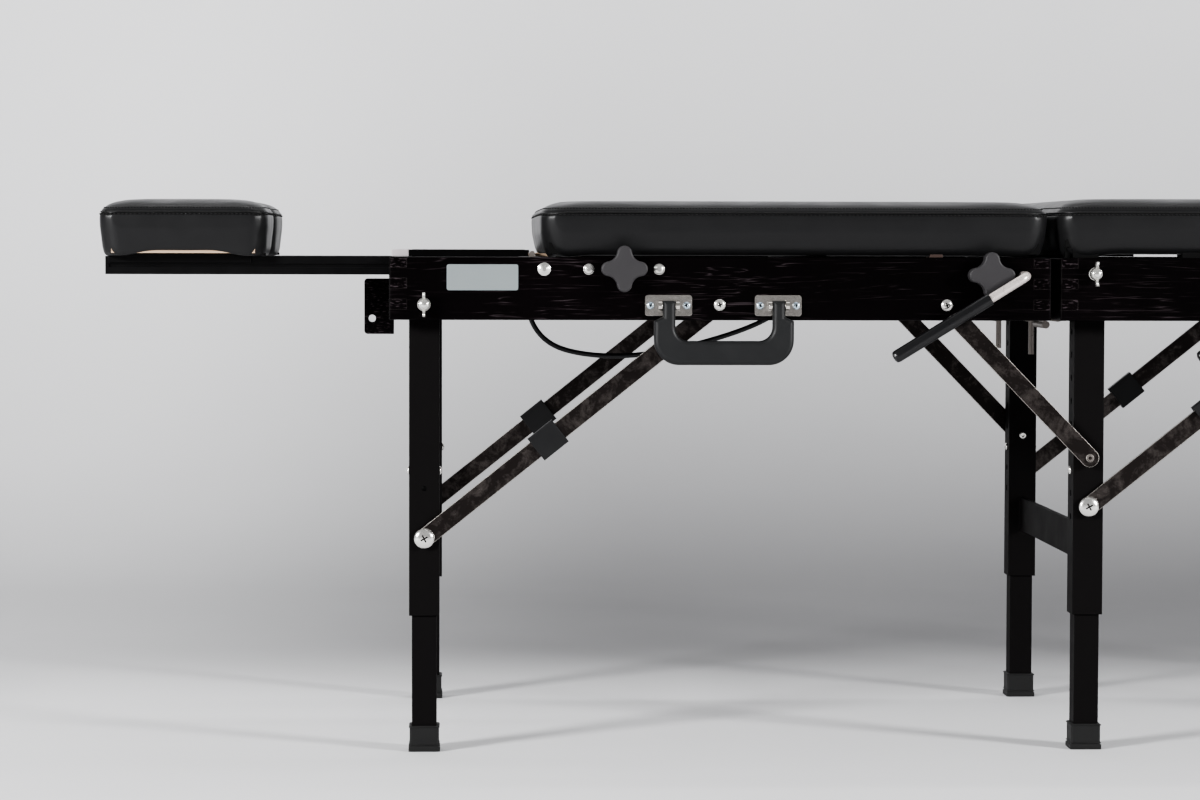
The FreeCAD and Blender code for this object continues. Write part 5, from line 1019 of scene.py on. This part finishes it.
# X and Z of the through bolts in each half
HALF_BOLTS = (
    ("head_half", ((356.5, FRAME_BOLT_Z), (603, FRAME_BOLT_Z))),
    ("foot_half", ((1083.5, MIDDLE_BOLT_Z), (1087.5, FRAME_BOLT_Z))),
)
HALF_PIVOTS = (
    ("head_half", ((HEAD_LEG_X, FRAME_BOLT_Z),)),
    ("foot_half", ((MIDDLE_LEG_X, MIDDLE_BOLT_Z), (FOOT_LEG_X, FRAME_BOLT_Z))),
)
# Face screws: X, radius, ring width, and the ring's profile as inset and distance
CUPPED_RING = ((0, 0.1), (0, 0.7), (0.6, 1.4), (1.3, 1.4), (1.9, 0.7))
PLAIN_RING = ((0, 0.1), (0, 0.5), (0.7, 1.1))
FACE_SCREWS = ((167.0, 6.8, 2.3, CUPPED_RING), (215.0, 5.6, 0.7, PLAIN_RING), (291.0, 5.6, 0.7, PLAIN_RING))
FACE_SCREW_Z = 527
HANDLE_X, HANDLE_Z, HANDLE_REACH, PLATE_SCREW_REACH = 360.5, 488, 59.3, 19.5
# Weld beads: count, lowest height, pitch, and offsets across and along the table
WELD_COUNT, WELD_LOW_Z, WELD_PITCH, WELD_Y, WELD_X = 17, 206.5, 2.4, 204.9, 2.6
# Grip ribs: heights, half length, depth, height and rounding
RIB_HEIGHTS, RIB_HALF, RIB_DEPTH, RIB_HEIGHT, RIB_ROUND = (7.2, 26.8), 16.35, 0.9, 1.1, 0.35
HINGE_SCREW_Y, HINGE_SCREW_Z = (-195, -173.5, -152, 152, 173.5, 195), 470.5


def make_leg_screws():
    """Cross-slotted screws that hold the lower bars to the legs."""
    for leg, x, z, _ in LEGS:
        heads, slots = bmesh.new(), bmesh.new()
        for point, direction in both_sides(at(x, -LOWER_BAR_FACE, z - BRACE_DROP)):
            add_turned(heads, LEG_SCREW, point, direction, 48)
            add_cross(slots, point + direction * 0.0020, direction, 8.5, 1.7, 1.0, 0.5)
        ride_pair(f"{leg}_screw", heads, slots, f"{leg}_lower_bars")


def make_lock_pins():
    """Ends of the pins that hold the telescoping legs at their height."""
    for leg, x, _, _ in LEGS:
        bm = bmesh.new()
        for side in (-1, 1):
            for towards in (-1, 1):
                base = at(x + towards * LEG_HALF, side * (LEG_OUTER - LEG_HALF), PIN_Z)
                add_dome_screw(bm, base, Vector((towards, 0, 0)), 4.6, 3.0, 24, recess=False)
        ride_new(f"{leg}_pin_ends", bm, "zinc", f"{leg}_legs")


def make_pin_holes():
    """Open pin holes in the outer legs: a round disc of painted shade for the hole, with a thin worn rim."""
    for leg, x in (("head", HEAD_LEG_X), ("foot", FOOT_LEG_X)):
        rims, holes = bmesh.new(), bmesh.new()
        for point, direction in both_sides(at(x, -LEG_OUTER, OPEN_HOLE_Z)):
            add_turned(rims, HOLE_RIM, point, direction, 28)
            add_turned(holes, HOLE_FLOOR, point, direction, 28)
        ride_new(f"{leg}_pin_hole_rims", rims, "powder", f"{leg}_legs")
        ride_new(f"{leg}_pin_holes", holes, "painted_shade_gap", f"{leg}_legs")


def make_strut_bolt_ends():
    """Round inner ends of the bolts that carry the struts."""
    bm = bmesh.new()
    for side in (-1, 1):
        base = at(MIDDLE_LEG_X, side * (LEG_OUTER - 2 * LEG_HALF), STRUT_BOLT_Z)
        add_turned(bm, BOLT_END, base, Vector((0, -side, 0)), 28)
    ride_new("strut_bolt_ends", bm, "zinc", "middle_legs")


def make_rail_fasteners():
    """Domed heads over the through bolts with their cross slots."""
    for half, bolts in HALF_BOLTS:
        heads, slots = bmesh.new(), bmesh.new()
        for x, z in bolts:
            for point, direction in both_sides(at(x, -HALF_WIDTH, z)):
                add_dome_screw(heads, point, direction, 6.4, 3.4, 40)
                add_cross(slots, point + direction * 0.0031, direction, 5.6, 1.3, 0.8, 0.3)
        ride_pair(f"{half}_bolt", heads, slots, half)


def make_face_screws():
    """Hex screws in the head half's rails, the first of them in a cup washer."""
    heads, slots = bmesh.new(), bmesh.new()
    for x, radius, ring_width, ring in FACE_SCREWS:
        rim = [(radius - inset, distance) for inset, distance in ring]
        button = radius - ring_width
        dome = [(button, 0.7), (button, 1.1), (button * 0.9, 1.7), (button * 0.62, 2.2)]
        dome += [(2.0, 2.3), (1.8, 1.4), (0, 1.3)]
        for point, direction in both_sides(at(x, -HALF_WIDTH, FACE_SCREW_Z)):
            add_turned(heads, rim, point, direction, 40)
            add_turned(heads, dome, point, direction, 40)
            add_turned(slots, HEX_RECESS, point, direction, 6)
    ride_pair("face_screw", heads, slots, "head_half")


def make_wing_nuts():
    """Cast wing nuts on the fold bolts: a domed hub and two swept ears."""
    for half, pivots in HALF_PIVOTS:
        bm = bmesh.new()
        for x, z in pivots:
            for point, direction in both_sides(at(x, -HALF_WIDTH - 2, z)):
                add_turned(bm, WING_HUB, point, direction, 32)
                add_wings(bm, point, facing(direction))
        ride_new(f"{half}_wing_nuts", bm, "zinc", half)


def add_wings(bm, base, turn):
    """Two ears that rise from the hub and flare outward, rounded at their tips."""
    for towards in (-1, 1):
        low, high = (
            [
                bm.verts.new(base + turn @ (Vector((offset * (1 - 0.03 * r), towards * r, h)) / 1000))
                for r, h in WING_EAR
            ]
            for offset in (-WING_HALF_THICK, WING_HALF_THICK)
        )
        if towards > 0:
            low, high = high, low
        bm.faces.new(low)
        bm.faces.new(list(reversed(high)))
        join_rings(bm, high, low)


def make_handle_screws():
    """Two cross-slotted screws in each plate of the handle."""
    heads, slots = bmesh.new(), bmesh.new()
    for middle in (HANDLE_X - HANDLE_REACH, HANDLE_X + HANDLE_REACH):
        for side in (-1, 1):
            point = at(middle + side * PLATE_SCREW_REACH, -HALF_WIDTH - 2.0, HANDLE_Z)
            add_dome_screw(heads, point, NEAR, 4.1, 2.4, 32)
            add_cross(slots, point + NEAR * 0.0022, NEAR, 4.4, 1.0, 0.7, 0.6 + side)
    ride_pair("handle_screw", heads, slots, "head_half", "blue_zinc")


def make_rivets():
    """Riveted knee joints and the peened ends of the struts."""
    span = math.hypot(BRACE_REACH, BRACE_DROP)
    lower = (span - (BRACE_REACH - BRACE_DROP)) / 2
    for leg, x, z, lean in LEGS:
        bm = bmesh.new()
        knee_x = x + lean * lower * BRACE_REACH / span
        knee_z = z - BRACE_DROP + lower * BRACE_DROP / span
        for point, direction in both_sides(at(knee_x, -UPPER_BAR_FACE, knee_z)):
            add_turned(bm, KNEE_RIVET, point, direction, 24)
        ride_new(f"{leg}_knee_rivets", bm, "steel", f"{leg}_upper_bars")
    bm = bmesh.new()
    for point, direction in both_sides(at(MIDDLE_LEG_X, -UPPER_BAR_FACE, STRUT_BOLT_Z)):
        add_turned(bm, STRUT_RIVET, point, direction, 28)
    ride_new("strut_rivets", bm, "steel", "strut_pair")


def make_welds():
    """Weld beads where each crossbar meets its two legs."""
    rng = random.Random(7)
    for leg, x, _, _ in LEGS:
        bm = bmesh.new()
        for side in (-1, 1):
            upward = Vector((0, side * 0.2, 1))
            for face in (-1, 1):
                for index in range(WELD_COUNT):
                    place = at(x + face * WELD_X, side * WELD_Y, WELD_LOW_Z + index * WELD_PITCH)
                    bead = [(0, -1.3), (1.5, -0.9), (2.1 + rng.random() * 0.3, 0.0), (1.5, 0.9), (0, 1.3)]
                    add_turned(bm, bead, place, upward, 10)
        ride_new(f"{leg}_weld_beads", bm, "powder", f"{leg}_legs")


def make_foot_ribs():
    """Moulded grip ribs round the lip of each rubber foot."""
    across, along = (2 * RIB_HALF, RIB_DEPTH, RIB_HEIGHT), (RIB_DEPTH, 2 * RIB_HALF, RIB_HEIGHT)
    ribs = ((0, -RIB_HALF, across), (0, RIB_HALF, across), (-RIB_HALF, 0, along), (RIB_HALF, 0, along))
    for leg, x, _, _ in LEGS:
        for side_name, side in (("near", -1), ("far", 1)):
            bm = bmesh.new()
            middle = side * (LEG_OUTER - LEG_HALF)
            for height in RIB_HEIGHTS:
                for dx, dy, size in ribs:
                    add_rounded_block(bm, at(x + dx, middle + dy, height), size, RIB_ROUND, steps=2)
            body = f"{leg}_{side_name}_extension"
            ride_new(f"{leg}_{side_name}_foot_ribs", bm, "rubber", body)


def make_hinge_screws():
    """Screw heads under the hinge leaves of both halves."""
    for half, x in (("head_half", 707.0), ("foot_half", 737.0)):
        bm = bmesh.new()
        for y in HINGE_SCREW_Y:
            add_dome_screw(bm, at(x, y, HINGE_SCREW_Z), Vector((0, 0, -1)), 3.2, 1.2, 20)
        ride_new(f"{half}_hinge_screws", bm, "steel", half)


# Room, lights and camera


# The sweep in metres: front edge, start and radius of the curve, height and half width
FRONT_Y, CURVE_Y, CURVE_RADIUS, WALL_TOP, ROOM_HALF = -7.0, 1.5, 1.6, 7.0, 9.0
CURVE_STEPS, FLOOR_DROP = 24, 0.0002
# Painted shadow of the table on the sweep, a soft dark band behind it: its start and end in depth, and its
# growth to the right
PAINTED_SHADOW_IN, PAINTED_SHADOW_OUT, PAINTED_SHADOW_RIGHT = (-0.05, 0.8), (1.6, 3.8), (-1.25, -0.15)
PAINTED_SHADOW_LEAST, PAINTED_SHADOW_GAIN = 0.33, 0.46
# Area lights: name, place, target, size and power
LIGHTS = (
    ("top_soft", (-0.2, 0.2, 3.6), (0.0, 0.5, 0.0), (3.0, 2.0), 20),
    ("key_left", (-3.7, -3.0, 1.75), (0.2, 0.2, 0.3), (0.9, 0.9), 370),
    ("key_right", (3.9, -3.0, 1.75), (0.2, 0.2, 0.3), (0.9, 0.9), 350),
    ("wall_wash", (-0.2, 0.8, 3.2), (-0.2, 3.1, 1.5), (4.5, 0.6), 80),
)
WORLD_COLOR, WORLD_STRENGTH = (0.97, 0.97, 1.0, 1), 0.22
# Camera: place in table millimetres, and yaw, pitch and roll in degrees
CAMERA_PLACE, CAMERA_ANGLES = (79.1, -3980.2, 553.5), (2.289, -2.585, 0.134)
CAMERA_LENS, CAMERA_SENSOR, CAMERA_FAR = 103.28, 36.0, 60


def make_room():
    """A pale sweep: a floor that curves up into a back wall, with a painted shadow of the table behind it."""
    profile = [(FRONT_Y, 0.0), (CURVE_Y, 0.0)]
    for index in range(1, CURVE_STEPS + 1):
        angle = math.pi / 2 * index / CURVE_STEPS
        y = CURVE_Y + CURVE_RADIUS * math.sin(angle)
        profile.append((y, CURVE_RADIUS * (1 - math.cos(angle))))
    profile.append((CURVE_Y + CURVE_RADIUS, WALL_TOP))
    bm = bmesh.new()
    rows = [[bm.verts.new((x, y, z - FLOOR_DROP)) for x in (-ROOM_HALF, ROOM_HALF)] for y, z in profile]
    for first, second in zip(rows, rows[1:]):
        bm.faces.new((first[0], first[1], second[1], second[0]))
    s = Shader("room_paper", (0.62, 0.625, 0.64), 0.0, 0.8)
    s.specular(0.05)
    split = s.add("ShaderNodeSeparateXYZ")
    s.set(split, "Vector", s.place)
    depth, across = split.outputs["Y"], split.outputs["X"]
    mottled = s.ramp(s.noise(0.9, 4.0, 0.6), 0.35, 0.65, 0.0, 1.0)
    tone = s.mix(mottled, (0.66, 0.66, 0.67), (0.69, 0.69, 0.70))
    # Painted shadow: the colour darkens in a band behind the table, more towards the right
    entering = s.smooth(depth, *PAINTED_SHADOW_IN)
    leaving = s.smooth(depth, *PAINTED_SHADOW_OUT)
    painted_shadow = s.times(entering, s.less(1.0, leaving))
    growth = s.times(s.smooth(across, *PAINTED_SHADOW_RIGHT), PAINTED_SHADOW_GAIN)
    strength = s.plus(PAINTED_SHADOW_LEAST, growth)
    s.color(s.mix(s.times(painted_shadow, strength), tone, (0.03, 0.03, 0.032)))
    s.rough(s.ramp(s.noise(3.0, 3.0), 0.3, 0.7, 0.75, 0.85))
    # The sweep is clear from outside, so the table shows from every side
    outside = s.add("ShaderNodeNewGeometry").outputs["Backfacing"]
    s.set(s.bsdf, "Alpha", s.less(1.0, outside))
    new_object("room_sweep", bm, s.material)


def area_light(name, place, target, size, power):
    light = bpy.data.lights.new(name, "AREA")
    light.shape = "RECTANGLE"
    light.size, light.size_y = size
    light.energy = power
    obj = bpy.data.objects.new(name, light)
    obj.location = place
    obj.rotation_euler = (Vector(target) - Vector(place)).to_track_quat("-Z", "Y").to_euler()
    bpy.context.scene.collection.objects.link(obj)


def make_lights():
    """A dim world, one soft light at each side, one above and one that washes the wall."""
    world = bpy.data.worlds.new("studio")
    world.use_nodes = True
    background = world.node_tree.nodes["Background"]
    background.inputs["Color"].default_value = WORLD_COLOR
    background.inputs["Strength"].default_value = WORLD_STRENGTH
    bpy.context.scene.world = world
    bpy.context.scene.view_settings.look = "AgX - Medium High Contrast"
    for light in LIGHTS:
        area_light(*light)


def make_camera():
    """A long lens a little left of the middle, level with the sections and looking slightly down."""
    camera = bpy.data.cameras.new("camera")
    camera.sensor_width = CAMERA_SENSOR
    camera.lens = CAMERA_LENS
    camera.clip_end = CAMERA_FAR
    obj = bpy.data.objects.new("camera", camera)
    yaw, pitch, roll = (math.radians(angle) for angle in CAMERA_ANGLES)
    level = math.cos(pitch)
    forward = Vector((math.sin(yaw) * level, math.cos(yaw) * level, math.sin(pitch)))
    right = Vector((math.cos(yaw), -math.sin(yaw), 0.0))
    up = right.cross(forward)
    turned_right = right * math.cos(roll) + up * math.sin(roll)
    turned_up = up * math.cos(roll) - right * math.sin(roll)
    turn = Matrix((turned_right, turned_up, -forward)).transposed().to_4x4()
    obj.matrix_world = Matrix.Translation(at(*CAMERA_PLACE)) @ turn
    bpy.context.scene.collection.objects.link(obj)
    bpy.context.scene.camera = obj


def main():
    paint_nodes()
    make_camera()
    make_cable()
    make_room()
    make_lights()
    for cushion in CUSHIONS:
        make_cushion(*cushion)
    make_plate()
    make_leg_screws()
    make_lock_pins()
    make_pin_holes()
    make_strut_bolt_ends()
    make_rail_fasteners()
    make_face_screws()
    make_wing_nuts()
    make_handle_screws()
    make_rivets()
    make_welds()
    make_foot_ribs()
    make_hinge_screws()


main()
